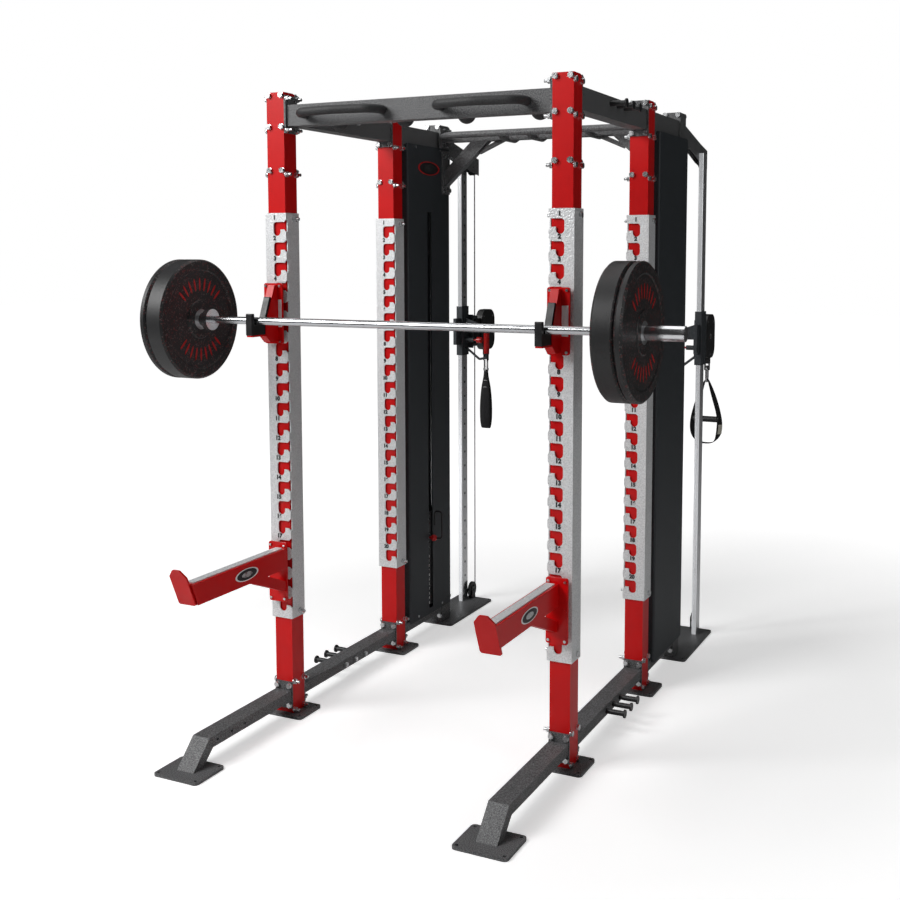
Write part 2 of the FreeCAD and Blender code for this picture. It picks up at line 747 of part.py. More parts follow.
def tower_upright():
    middle = sum(UPRIGHT_Y) / 2
    outside, inside = square_tube(middle, (REAR_PLATE_TOP, UPRIGHT_TOP))
    return outside.cut([inside, cable_way()])


def cable_way():
    """Clearance for the cable run through the upright and the rail flange in front of it."""
    start = vec(POST_X + 2, UPRIGHT_Y[0] - FLANGE - 0.5, cable_run_z())
    return rod(start, "Y", CABLE_WAY_RADIUS, POST_SIZE + FLANGE + 2)


def cable_run_z():
    return TOP_SHEAVE_Z + SHEAVE_CABLE_RADIUS


def shroud():
    """Folded sheet cover round the weight stack, open towards the upright."""
    x, y = SHROUD_X, SHROUD_Y
    sheet = SHROUD_SHEET
    block = box(x, (y[0], y[1] + SHROUD_CORNER), SHROUD_Z)
    front_edges = [e for e in block.Edges if e.BoundBox.ZLength > 100 and e.BoundBox.YMax < y[0] + 1]
    block = block.makeFillet(SHROUD_CORNER, front_edges)
    inner = box((x[0] + sheet, x[1] - sheet), (y[0] + sheet, y[1] + 20), (SHROUD_Z[0] - 1, SHROUD_Z[1] + 1))
    inner_edges = [e for e in inner.Edges if e.BoundBox.ZLength > 100 and e.BoundBox.YMax < y[0] + sheet + 1]
    inner = inner.makeFillet(SHROUD_CORNER - sheet, inner_edges)
    slot = box((x[0] - 1, x[0] + 10), (STACK_Y - SLOT_HALF, STACK_Y + SLOT_HALF), SLOT_Z)
    play = 2.0
    ways = [
        box((POST_X - half - play, POST_X + half + play), (y[0] - 1, y[0] + 20), (z[0] - play, z[1] + play))
        for half, z in ((BASE_RAIL_HALF, BASE_RAIL_Z), (TOP_RAIL_HALF, TOP_RAIL_Z))
    ]
    excess = box((x[0] - 1, x[1] + 1), (y[1], y[1] + 50), (0, POST_TOP))
    return block.cut([inner, slot, excess] + ways)


# ------------------------------------------------------------------ weight stack
def guide_rods():
    length = ROD_YOKE_Z[0] - BASE_RAIL_Z[1]
    start_z = BASE_RAIL_Z[1]
    return [
        rod(vec(POST_X, STACK_Y + side * GUIDE_SPREAD, start_z), "Z", GUIDE_RADIUS, length)
        for side in (-1, 1)
    ]


def stack_buffers():
    height = STACK_FOOT - BASE_RAIL_Z[1] - 0.5
    return [
        ring(vec(POST_X, STACK_Y + side * GUIDE_SPREAD, BASE_RAIL_Z[1]), "Z", 22.0, GUIDE_RADIUS + 0.2, height)
        for side in (-1, 1)
    ]


def stack_plate(index):
    """Steel plate number index counted from the floor, bored for rods, stem and pin."""
    z = STACK_FOOT + index * PLATE_PITCH
    x = (POST_X - PLATE_HALF_X, POST_X + PLATE_HALF_X)
    y = (STACK_Y - PLATE_HALF_Y, STACK_Y + PLATE_HALF_Y)
    plate = prism("XY", rectangle(x, y), (z, z + PLATE_HEIGHT), 6.0)
    tools = [
        rod(vec(POST_X, STACK_Y + side * GUIDE_SPREAD, z - 1), "Z", GUIDE_RADIUS + 1.0, PLATE_HEIGHT + 2)
        for side in (-1, 1)
    ]
    tools.append(rod(vec(POST_X, STACK_Y, z - 1), "Z", STEM_RADIUS + 1.0, PLATE_HEIGHT + 2))
    tools.append(rod(vec(x[0] - 1, STACK_Y, z + PLATE_HEIGHT / 2), "X", PIN_RADIUS + 0.5, PLATE_HALF_X))
    return plate.cut(tools)


def resting_plates():
    return [stack_plate(i) for i in range(STACK_PLATES - LIFTED_PLATES)]


def pin_height():
    return STACK_FOOT + (STACK_PLATES - LIFTED_PLATES) * PLATE_PITCH + PLATE_HEIGHT / 2


def stack_stem():
    """Drilled stem hanging through the stack; its collar carries the top plate."""
    bottom = STACK_FOOT + PLATE_PITCH
    top_plate = STACK_FOOT + STACK_PLATES * PLATE_PITCH
    stem = fuse([
        rod(vec(POST_X, STACK_Y, bottom), "Z", STEM_RADIUS, STEM_TOP - bottom),
        rod(vec(POST_X, STACK_Y, top_plate), "Z", STEM_RADIUS + 12, 16.0),
    ])
    first = STACK_FOOT + PLATE_PITCH + PLATE_HEIGHT / 2
    holes = []
    for i in range(STACK_PLATES - 1):
        at = vec(POST_X - 20, STACK_Y, first + i * PLATE_PITCH)
        holes.append(rod(at, "X", PIN_RADIUS + RUNNING_GAP, 40))
    return stem.cut(holes)


def lifted_plates():
    plates = [stack_plate(i) for i in range(STACK_PLATES - LIFTED_PLATES, STACK_PLATES)]
    return plates + [stack_stem()]


def selector_pin():
    """Pin with a round knob and a wire bail that folds up beside the slot."""
    z = pin_height()
    knob_x = 510.0
    bail_x = (482.0, 520.0)
    bail_y = STACK_Y + 6
    bail_top = z + 128
    knob = rod(vec(knob_x, STACK_Y, z), "X", 11.0, 24.0)
    shank = rod(vec(knob_x, STACK_Y, z), "X", PIN_RADIUS, POST_X + STEM_RADIUS - 0.5 - knob_x)
    bail = bent_rod(
        [
            (knob_x + 6, STACK_Y, z),
            (bail_x[0], bail_y, z),
            (bail_x[0], bail_y, bail_top),
            (bail_x[1], bail_y, bail_top),
            (bail_x[1], bail_y, bail_top - 68),
        ],
        4.0,
        12.0,
    )
    return fuse([knob, shank, bail])


def stack_cable():
    return rod(vec(POST_X, STACK_Y, STEM_TOP), "Z", CABLE_RADIUS, TOP_SHEAVE_Z - STEM_TOP)


# ------------------------------------------------------------------ sheaves and cables
def sheave(centre, rim=SHEAVE_RIM, bottom=SHEAVE_CABLE_RADIUS - CABLE_RADIUS - 0.3):
    """Grooved pulley wheel on an X axle, with five lightening holes."""
    half = SHEAVE_WIDTH / 2
    groove = SHEAVE_GROOVE / 2
    bore = AXLE_RADIUS + RUNNING_GAP
    outline = [(-half, bore), (-half, rim), (-groove, rim), (-groove, bottom)]
    outline += [(groove, bottom), (groove, rim), (half, rim), (half, bore)]
    wheel = spin(outline, centre, centre.x)
    holes = []
    for i in range(5):
        angle = math.radians(72 * i)
        at = vec(centre.x - half - 1, centre.y + 20 * math.cos(angle), centre.z + 20 * math.sin(angle))
        holes.append(rod(at, "X", 5.0, SHEAVE_WIDTH + 2))
    return wheel.cut(holes)


def tower_sheave_centre():
    return vec(POST_X, STACK_Y + SHEAVE_CABLE_RADIUS, TOP_SHEAVE_Z)


def head_sheave_centre():
    return vec(SWIVEL_X, HEAD_SHEAVE_Y, TOP_SHEAVE_Z)


def foot_sheave_centre():
    return vec(SWIVEL_X, HEAD_SHEAVE_Y, FOOT_SHEAVE_Z)


def cable_arc(centre, start, sweep):
    """Part of a cable lying in a sheave groove; angles from +Y towards +Z in degrees."""
    radius = SHEAVE_CABLE_RADIUS
    angle = math.radians(start)
    at = vec(centre.x, centre.y + radius * math.cos(angle), centre.z + radius * math.sin(angle))
    tangent = vec(0, -math.sin(angle), math.cos(angle))
    circle = Part.Face(Part.Wire([Part.makeCircle(CABLE_RADIUS, at, tangent)]))
    return circle.revolve(centre, AXIS["X"], sweep)


def column_cable():
    """Cable pieces from the tower over the head sheave, down the column and round the foot sheave."""
    tower, head, foot = tower_sheave_centre(), head_sheave_centre(), foot_sheave_centre()
    run_start = vec(tower.x, tower.y + CABLE_PIECE_GAP, cable_run_z())
    run = vec(head.x, head.y - CABLE_PIECE_GAP, cable_run_z()) - run_start
    return [
        cable_arc(tower, 90, 90),
        Part.makeCylinder(CABLE_RADIUS, run.Length, run_start, run),
        cable_arc(head, 0, 90),
        rod(vec(foot.x, SWIVEL_Y, foot.z), "Z", CABLE_RADIUS, head.z - foot.z),
        cable_arc(foot, 180, 180),
    ]


def axle(centre, half_width):
    return rod(vec(centre.x - half_width, centre.y, centre.z), "X", AXLE_RADIUS, 2 * half_width)


def cheeks(outline, centre, half_gap, thickness):
    return [
        prism("YZ", outline, (centre.x + half_gap, centre.x + half_gap + thickness)),
        prism("YZ", outline, (centre.x - half_gap - thickness, centre.x - half_gap)),
    ]


def head_bracket():
    """Two sloping plates from the upright past the column top, either side of the sheave."""
    centre = head_sheave_centre()
    half_gap = 10.5
    thickness = 3.0
    outline = [
        (UPRIGHT_Y[1], 2366), (UPRIGHT_Y[1], 2290), (UPRIGHT_Y[1] + 28, 2290), (1585, 2215),
        (1700, 2195), (1700, 2276), (1590, 2297),
    ]
    plates = cheeks(outline, centre, half_gap, thickness)
    reach = half_gap + thickness
    foot = box((centre.x - reach, centre.x + reach), (UPRIGHT_Y[1], UPRIGHT_Y[1] + 6), (2290, 2366))
    tie = box((centre.x - half_gap, centre.x + half_gap), (1694, 1700), (2200, 2270))
    return fuse(plates + [foot, tie, axle(centre, 18.0)])


def rod_yoke():
    """Plate from the upright that holds the tops of the guide rods, with a hole for the cable."""
    y = (STACK_Y - GUIDE_SPREAD - 22, UPRIGHT_Y[0])
    yoke = box((POST_X - 20, POST_X + 20), y, ROD_YOKE_Z)
    return yoke.cut(rod(vec(POST_X, STACK_Y, ROD_YOKE_Z[0] - 1), "Z", 8.0, 10.0))


def tower_hanger():
    centre = tower_sheave_centre()
    y = (centre.y - 20, centre.y + 20)
    plates = cheeks(rectangle(y, (centre.z - 15, TOP_RAIL_Z[0])), centre, 8.0, 4.0)
    return fuse(plates + [axle(centre, 16.0)])


def foot_bracket():
    """Sheave cheeks on the floor plate behind the column."""
    centre = foot_sheave_centre()
    y = (COLUMN_Y[1] + 3, REAR_PLATE_Y[1] - 1)
    plates = cheeks(rectangle(y, (REAR_PLATE_TOP, centre.z + 18)), centre, 8.0, 4.0)
    return fuse(plates + [axle(centre, 16.0)])


def pulley_column():
    """Chromed flat column with a row of locating holes on its inner face."""
    column = prism("XY", rectangle(COLUMN_X, COLUMN_Y), (REAR_PLATE_TOP, COLUMN_TOP), 4.0)
    holes = []
    z = POP_PIN_Z - 16 * COLUMN_HOLE_PITCH
    while z < COLUMN_TOP - 60:
        holes.append(rod(vec(COLUMN_X[0] - 1, COLUMN_MID_Y, z), "X", COLUMN_HOLE, 13.0))
        z += COLUMN_HOLE_PITCH
    return column.cut(holes)


# ------------------------------------------------------------------ carriage
def carriage():
    """Collar on the column with the height grip arm, pin barrel and two swivel lugs."""
    x, y, z = CARRIAGE_X, CARRIAGE_Y, CARRIAGE_Z
    mid_y = COLUMN_MID_Y
    rod_top = HANDGRIP_Z[1] + 20
    loop = bent_rod(
        [
            (x[0] + 1, mid_y, 1328),
            (522, mid_y, 1268),
            (HANDGRIP_X, mid_y, 1276),
            (HANDGRIP_X, mid_y, rod_top),
        ],
        6.0,
        14.0,
    )
    pieces = [
        prism("XY", rectangle(x, y), z, 5.0),
        box((609, 625), (1500, y[0] + 1), (1343, 1475)),
        prism("XZ", [(600, 1402), (600, 1475), (500, 1440), (472, 1430), (472, 1402)], (mid_y - 6, mid_y + 6)),
        loop,
        rod(vec(552, mid_y, POP_PIN_Z), "X", 11.0, x[0] - 552),
        box((SWIVEL_X - LUG_HALF, x[1]), (y[1] - 1, y[1] + 8), (1320, 1490)),
    ]
    for lug in LUG_Z:
        pieces.append(box((SWIVEL_X - LUG_HALF, SWIVEL_X + LUG_HALF), (y[1], SWIVEL_Y), lug))
        pieces.append(rod(vec(SWIVEL_X, SWIVEL_Y, lug[0]), "Z", LUG_HALF, lug[1] - lug[0]))
    play = CARRIAGE_PLAY
    bore = box(
        (COLUMN_X[0] - play, COLUMN_X[1] + play), (COLUMN_Y[0] - play, COLUMN_Y[1] + play), (z[0] - 1, z[1] + 1)
    )
    pin_way = rod(vec(540, mid_y, POP_PIN_Z), "X", 5.0 + RUNNING_GAP, COLUMN_X[0] - 540)
    hinge_way = rod(vec(SWIVEL_X, SWIVEL_Y, 1300), "Z", BARREL_RADIUS + RUNNING_GAP, 220)
    return fuse(pieces).cut([bore, pin_way, hinge_way])


def carriage_grip():
    start = vec(HANDGRIP_X, COLUMN_MID_Y, HANDGRIP_Z[0])
    return ring(start, "Z", HANDGRIP_RADIUS, 6.0 + RUNNING_GAP, HANDGRIP_Z[1] - HANDGRIP_Z[0])


def pop_pin():
    mid_y = COLUMN_MID_Y
    return fuse([
        rod(vec(POP_KNOB_X[0], mid_y, POP_PIN_Z), "X", 15.0, POP_KNOB_X[1] - POP_KNOB_X[0]),
        rod(vec(POP_KNOB_X[1], mid_y, POP_PIN_Z), "X", 5.0, COLUMN_X[0] - 1 - POP_KNOB_X[1]),
    ])


def swivel_housing():
    """Pulley housing on a hollow hinge barrel, with a clevis for the handle link below."""
    x = (SWIVEL_X - HOUSING_HALF, SWIVEL_X + HOUSING_HALF)
    centre = swivel_sheave_centre()
    gap = 1.0
    web_z = (LUG_Z[0][1] + gap, LUG_Z[1][0] - gap)
    barrel_z = (LUG_Z[0][0] - 3, LUG_Z[1][1] + 3)
    bore_z = (CARRIAGE_Z[0], CARRIAGE_Z[1])
    neck_z = (CLEVIS_Z[1] - 3, HOUSING_Z[0] + 8)
    sheave_half = 8.0
    window_z = (centre.z - 33, centre.z + 33)
    body = prism("YZ", rectangle(HOUSING_Y, HOUSING_Z), x, 55.0)
    barrel = rod(vec(SWIVEL_X, SWIVEL_Y, barrel_z[0]), "Z", BARREL_RADIUS, barrel_z[1] - barrel_z[0])
    web = box((SWIVEL_X - 9, SWIVEL_X + 9), (SWIVEL_Y, HOUSING_Y[0] + 2), web_z)
    neck = box((SWIVEL_X - 12, SWIVEL_X + 12), (HANDLE_Y - 15, HANDLE_Y + 15), neck_z)
    clevis = [
        box((SWIVEL_X + side - 2, SWIVEL_X + side + 2), (HANDLE_Y - 9, HANDLE_Y + 9), CLEVIS_Z)
        for side in (-10, 10)
    ]
    pin = rod(vec(SWIVEL_X - 12, HANDLE_Y, HANDLE_PIVOT_Z), "X", CLEVIS_PIN_RADIUS, 24.0)
    shell = fuse([body, barrel, web, neck, pin] + clevis)
    space = rod(vec(SWIVEL_X - sheave_half, centre.y, centre.z), "X", 56.0, 2 * sheave_half)
    rear_slot = box(
        (SWIVEL_X - sheave_half, SWIVEL_X + sheave_half), (centre.y, HOUSING_Y[1] + 5), window_z
    )
    bore = rod(vec(SWIVEL_X, SWIVEL_Y, bore_z[0]), "Z", BARREL_BORE, bore_z[1] - bore_z[0])
    return fuse([shell.cut([space, rear_slot, bore]), axle(centre, 12.0)])


def swivel_sheave_centre():
    return vec(SWIVEL_X, sum(HOUSING_Y) / 2, sum(HOUSING_Z) / 2)


def link():
    """Closed oval snap link hanging on the clevis pin."""
    top = HANDLE_PIVOT_Z + CLEVIS_PIN_RADIUS + LINK_RADIUS + SEAT_GAP
    half = 17.0
    corners = [
        (SWIVEL_X, HANDLE_Y + half, (top + LINK_BOTTOM_Z) / 2),
        (SWIVEL_X, HANDLE_Y + half, top),
        (SWIVEL_X, HANDLE_Y - half, top),
        (SWIVEL_X, HANDLE_Y - half, LINK_BOTTOM_Z),
        (SWIVEL_X, HANDLE_Y + half, LINK_BOTTOM_Z),
        (SWIVEL_X, HANDLE_Y + half, (top + LINK_BOTTOM_Z) / 2),
    ]
    return bent_rod(corners, LINK_RADIUS, 16.5)


def ankle_strap():
    """Flat cuff that widens downwards, folded into a loop, with an eye for the link."""
    x = SWIVEL_X
    y = HANDLE_Y
    thick = 9.0
    profile = [(13, CUFF_TOP), (16, 1140.0), (37, 930.0), (32, CUFF_BOTTOM)]
    outline = [(x + half, z) for half, z in profile] + [(x - half, z) for half, z in reversed(profile)]
    strap = prism("XZ", outline, (y - thick, y + thick), 9.0)
    width = (x - 60, x + 60)
    fold_z = (CUFF_BOTTOM + 11, CUFF_FOLD_TOP)
    fold = prism("YZ", [(y - 4.5, fold_z[0]), (y + 4.5, fold_z[0]), (y + 3, fold_z[1]), (y - 3, fold_z[1])], width)
    eye = rod(vec(x, y - 12, LINK_BOTTOM_Z), "Y", LINK_RADIUS + 4, 24)
    thin_top = [box(width, (y + a, y + b), (CUFF_FOLD_TOP, CUFF_TOP + 10)) for a, b in ((-10, -4), (4, 10))]
    return strap.cut([fold, eye] + thin_top)


def stirrup_strap():
    """Webbing loop: a tall triangle down to the grip and a foot loop below it."""
    top = LINK_BOTTOM_Z + LINK_RADIUS + WEB_SEAT
    web = 3.0
    profile = [(9.0, top + web), (70.0, STIRRUP_GRIP_Z + 8), (66.0, STIRRUP_BOTTOM)]
    within = [(7.0, top), (66.5, STIRRUP_GRIP_Z + 8), (62.5, STIRRUP_BOTTOM + web + 0.5)]
    y = (HANDLE_Y - 11, HANDLE_Y + 11)
    solids = []
    for side, corner in ((profile, 6.0), (within, 4.0)):
        outline = [(SWIVEL_X + half, z) for half, z in side]
        outline += [(SWIVEL_X - half, z) for half, z in reversed(side)]
        solids.append(prism("XZ", outline, y, corner))
    return solids[0].cut(solids[1])


def stirrup_grip():
    return ring(vec(SWIVEL_X - 63, HANDLE_Y, STIRRUP_GRIP_Z), "X", 14.5, 6.0, 126.0)


# ------------------------------------------------------------------ hooks and spotter arms
def mount_plate(z):
    """Rounded plate that stands in front of a notch strip."""
    x = (POST_X - MOUNT_PLATE_HALF, POST_X + MOUNT_PLATE_HALF)
    return prism("XZ", rectangle(x, z), MOUNT_PLATE_Y, 8.0)


def seat_height(notch):
    """Centre height of a stud resting in the given notch (0 is the top one)."""
    return FIRST_NOTCH_TOP - NOTCH_PITCH * notch - NOTCH_DROP + STUD_RADIUS + SEAT_GAP


def studs(notches):
    length = STUD_END_Y - MOUNT_PLATE_Y[1]
    return [rod(vec(STUD_X, MOUNT_PLATE_Y[1], seat_height(n)), "Y", STUD_RADIUS, length) for n in notches]


def plate_screws(z_values, w_values):
    screws = []
    for z in z_values:
        for w in w_values:
            screws.append(rod(vec(POST_X + w, MOUNT_PLATE_Y[0] - 4, z), "Y", 5.5, 4.5))
    return screws


def jhook():
    """Plate, two studs and the sloping bracket whose front and keel carry the cradle."""
    face = MOUNT_PLATE_Y[0]
    top, bottom = HOOK_PLATE_Z[1] - 6, HOOK_PLATE_Z[0] + 8
    outline = [
        (face - 0.5, top),
        (HOOK_NOSE_TOP[0], top),
        (HOOK_NOSE[0], HOOK_NOSE[1]),
        (HOOK_NOSE[0], CRADLE_BASE - HOOK_KEEL),
        (HOOK_NOSE[0] + 29, bottom),
        (face - 0.5, bottom),
    ]
    x = (STUD_X - HOOK_BRACKET_HALF, STUD_X + HOOK_BRACKET_HALF)
    cradle_x = (STUD_X - HOOK_HALF_WIDTH, STUD_X + HOOK_HALF_WIDTH)
    pieces = [
        mount_plate(HOOK_PLATE_Z),
        prism("YZ", outline, x),
        box(x, (face - 1, face + 1), (bottom, top)),
        box(cradle_x, (HOOK_LIP_Y + 5, HOOK_NOSE[0] + 5), (CRADLE_BASE - HOOK_KEEL, CRADLE_BASE)),
    ]
    screws = plate_screws((HOOK_PLATE_Z[1] - 10, HOOK_PLATE_Z[0] + 9), (-PLATE_SCREW_W, PLATE_SCREW_W))
    return fuse(pieces + studs(HOOK_NOTCHES) + screws).cut(hook_liner_cradle())


def hook_liner_cradle():
    """Black cradle: sloping back pad, level floor and front lip with rounded corners."""
    floor = BAR_Z - BAR_RADIUS - SEAT_GAP
    slope = (HOOK_NOSE_TOP[0] - HOOK_NOSE[0]) / (HOOK_NOSE_TOP[1] - HOOK_NOSE[1])
    pad_back = HOOK_NOSE[0] + (PAD_TOP - HOOK_NOSE[1]) * slope
    lip_inside = HOOK_LIP_Y + 18
    outline = [
        (pad_back, PAD_TOP),
        (pad_back - PAD_THICKNESS, PAD_TOP),
        (HOOK_NOSE[0] - PAD_THICKNESS, floor),
        (lip_inside, floor),
        (lip_inside, LIP_TOP),
        (HOOK_LIP_Y, LIP_TOP),
        (HOOK_LIP_Y, CRADLE_BASE),
        (HOOK_NOSE[0], CRADLE_BASE),
        (HOOK_NOSE[0], HOOK_NOSE[1]),
    ]
    return prism("YZ", outline, (STUD_X - HOOK_HALF_WIDTH, STUD_X + HOOK_HALF_WIDTH), 4.0)


def mount_block(z, notches):
    """Plastic block between the mount plate and the strip, bored for the studs."""
    block = box((STUD_X - 24, STUD_X + 24), MOUNT_BLOCK_Y, z)
    holes = [
        rod(vec(STUD_X, MOUNT_BLOCK_Y[0] - 1, seat_height(n)), "Y", STUD_RADIUS + 0.1, 20.0) for n in notches
    ]
    return block.cut(holes)


def jhook_liner():
    return [hook_liner_cradle(), mount_block((1474, 1680), HOOK_NOTCHES)]


def arm_tip_y(z):
    slope = (ARM_TIP_TOP[0] - ARM_TIP[0]) / (ARM_TIP_TOP[1] - ARM_TIP[1])
    return ARM_TIP[0] + (z - ARM_TIP[1]) * slope


def arm_end_plate():
    low, high = ARM_TIP[1], ARM_TIP_TOP[1]
    slab = prism(
        "YZ",
        [
            (arm_tip_y(low), low),
            (arm_tip_y(high), high),
            (arm_tip_y(high) + ARM_END_PLATE, high),
            (arm_tip_y(low) + ARM_END_PLATE, low),
        ],
        (POST_X - 60, POST_X + 60),
    )
    face = [(-36, low), (36, low), (36, 704), (14, high), (-14, high), (-36, 704)]
    face = [(POST_X + w, z) for w, z in face]
    return slab.common(prism("XZ", face, (-700, -500), 7.0))


def arm_side(z):
    """Side outline of the arm tube between the heights z, ending on the sloping plate."""
    behind = ARM_END_PLATE
    return [
        (MOUNT_PLATE_Y[0], z[0]),
        (MOUNT_PLATE_Y[0], z[1]),
        (arm_tip_y(z[1]) + behind, z[1]),
        (arm_tip_y(z[0]) + behind, z[0]),
    ]


def spotter_arm():
    x = (POST_X + ARM_W[0], POST_X + ARM_W[1])
    tube = prism("YZ", arm_side(ARM_Z), x)
    core_z = (ARM_Z[0] + RAIL_WALL, ARM_Z[1] - RAIL_WALL)
    core = prism("YZ", arm_side(core_z), (x[0] + RAIL_WALL, x[1] - RAIL_WALL))
    strut = prism("YZ", [(-295, ARM_Z[0]), (-190, ARM_Z[0]), (-71, 545), (-71, 505)], (x[0] + 4, x[1] - 4))
    drain = rod(vec(sum(x) / 2, MOUNT_PLATE_Y[0] - 1, sum(ARM_Z) / 2), "Y", VENT_RADIUS, 10)
    corners = (ARM_PLATE_Z[1] - 12, ARM_PLATE_Z[0] + 13)
    screws = plate_screws(corners, (-PLATE_SCREW_W, PLATE_SCREW_W)) + plate_screws((581.0,), (PLATE_SCREW_W,))
    pieces = [mount_plate(ARM_PLATE_Z), tube.cut(core), strut, arm_end_plate()]
    return fuse(pieces + studs(ARM_NOTCHES) + screws).cut(drain)


def arm_pads():
    """Wear strip on top of the arm and the block behind its plate."""
    middle = POST_X + sum(ARM_W) / 2
    strip = prism("XY", rectangle((middle - 16, middle + 16), (-604, -84)), (ARM_Z[1], ARM_Z[1] + 4), 5.0)
    return [strip, mount_block((476, 684), ARM_NOTCHES)]


# ------------------------------------------------------------------ barbell
def barbell_shaft():
    reach = SLEEVE_X[1] - 20
    return rod(vec(-reach, BAR_Y, BAR_Z), "X", BAR_RADIUS, 2 * reach)


def bar_sleeve():
    """Rotating sleeve with its inner collar, bored for the shaft and closed at the end."""
    start = vec(SLEEVE_X[0], BAR_Y, BAR_Z)
    end = SLEEVE_X[1]
    neck_start = SLEEVE_X[0] + SLEEVE_COLLAR[1]
    sleeve = fuse([
        rod(start, "X", SLEEVE_COLLAR[0], SLEEVE_COLLAR[1]),
        rod(vec(neck_start, BAR_Y, BAR_Z), "X", SLEEVE_NECK[0], SLEEVE_NECK[1]),
        rod(start, "X", SLEEVE_RADIUS, end - SLEEVE_X[0]),
    ])
    return sleeve.cut(rod(start, "X", BAR_RADIUS + RUNNING_GAP, end - 18 - SLEEVE_X[0]))


def bumper(x):
    """Rubber disc with a raised rim and hub band, and a steel hub ring pressed in."""
    width = x[1] - x[0]
    recess = min(5.0, width * 0.1)
    hub = 38.0
    outline = [
        (0, hub), (0, 70), (recess, 74), (recess, 182), (0, 188), (0, BUMPER_RADIUS - 7),
        (7, BUMPER_RADIUS), (width - 7, BUMPER_RADIUS), (width, BUMPER_RADIUS - 7),
        (width, 188), (width - recess, 182), (width - recess, 74), (width, 70), (width, hub),
    ]
    centre = vec(0, BAR_Y, BAR_Z)
    rubber = spin(outline, centre, x[0])
    steel = ring(vec(x[0] + 0.5, BAR_Y, BAR_Z), "X", hub, SLEEVE_RADIUS + 0.2, width - 1.0)
    return [rubber, steel]


def bumper_plates():
    return bumper(THICK_BUMPER_X) + bumper(THIN_BUMPER_X)


# ------------------------------------------------------------------ export
def export(name, shapes):
    shapes = shapes if isinstance(shapes, list) else [shapes]
    shape = moved(shapes[0] if len(shapes) == 1 else group(shapes), y=MOVE_TO_ORIGIN.y)
    shape.exportStep(os.path.join("parts", name + ".step"))
    print(name, len(shape.Solids), shape.isValid())


def export_both_sides(name, shapes):
    """One node holding the right-hand shapes and their mirror images."""
    export(name, shapes + [mirrored(s) for s in shapes])


def export_pair(name, shapes):
    """Two nodes, one for each side."""
    shapes = shapes if isinstance(shapes, list) else [shapes]
    export(name + "_right", shapes)
    export(name + "_left", [mirrored(s) for s in shapes])


def export_frame():
    bolts = post_bolts() + tower_bolts()
    through = bolts + peg_holes()
    all_bolts = through + mirrored_bolts(through)
    strip = drilled(notch_strip(), bolts)
    export_both_sides("posts", [drilled(post(y), bolts) for y in (0.0, REAR_POST_Y)])
    export_both_sides("floor_plates", floor_plates())
    export_both_sides("notch_strips", [strip, moved(strip, y=REAR_POST_Y)])
    export_both_sides("front_feet", [drilled(front_foot(), bolts)])
    export_both_sides("base_rails", [drilled(rail, through) for rail in base_rails()])
    export_both_sides("top_rails", [drilled(rail, through) for rail in top_rails()])
    export("front_cross_beam", drilled(front_cross_beam(), all_bolts))
    export_both_sides("front_grips", front_grips())
    export("rear_pull_up_bar", drilled(rear_pull_up_bar(), all_bolts))
    export_both_sides("knee_braces", [drilled(knee_brace(), bolts)])
    export_both_sides("band_pegs", [peg(*place) for place in peg_places()])
    export_both_sides("tower_uprights", [drilled(tower_upright(), bolts)])
    export_both_sides("tower_shrouds", [drilled(shroud(), bolts)])
    export_both_sides("guide_rods", guide_rods())
    export_both_sides("resting_plates", resting_plates())
    export_both_sides("stack_buffers", stack_buffers())
    export_both_sides("pulley_columns", [pulley_column()])
    export_both_sides("sheave_brackets", [head_bracket(), tower_hanger(), rod_yoke(), foot_bracket()])
    export_both_sides("column_cables", column_cable())
    spacers = strip_spacers(0.0) + strip_spacers(REAR_POST_Y)
    export_both_sides("frame_bolts", [bolt_shape(item) for item in bolts] + spacers)


def export_moving_parts():
    export_pair("lifted_plates", lifted_plates())
    export_pair("selector_pin", selector_pin())
    export_pair("stack_cable", stack_cable())
    export_pair("tower_sheave", sheave(tower_sheave_centre()))
    export_pair("head_sheave", sheave(head_sheave_centre()))
    export_pair("foot_sheave", sheave(foot_sheave_centre()))
    export_pair("carriage", carriage())
    export_pair("carriage_grip", carriage_grip())
    export_pair("pop_pin", pop_pin())
    export_pair("swivel_housing", swivel_housing())
    export_pair("swivel_sheave", sheave(swivel_sheave_centre(), 50.0, 42.0))
    export_pair("snap_link", link())
    export("ankle_strap", mirrored(ankle_strap()))
    export("stirrup_strap", stirrup_strap())
    export("stirrup_grip", stirrup_grip())
    export_pair("jhook", jhook())
    export_pair("jhook_liner", jhook_liner())
    export_pair("spotter_arm", spotter_arm())
    export_pair("arm_pads", arm_pads())
    export("barbell_shaft", barbell_shaft())
    export_pair("bar_sleeve", bar_sleeve())
    export_pair("bumper_plates", bumper_plates())


os.makedirs("parts", exist_ok=True)
export_frame()
export_moving_parts()
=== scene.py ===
"""Looks, soft goods, lights and camera for the power rack."""
import json
import math

import bmesh
import bpy
from mathutils import Matrix, Vector

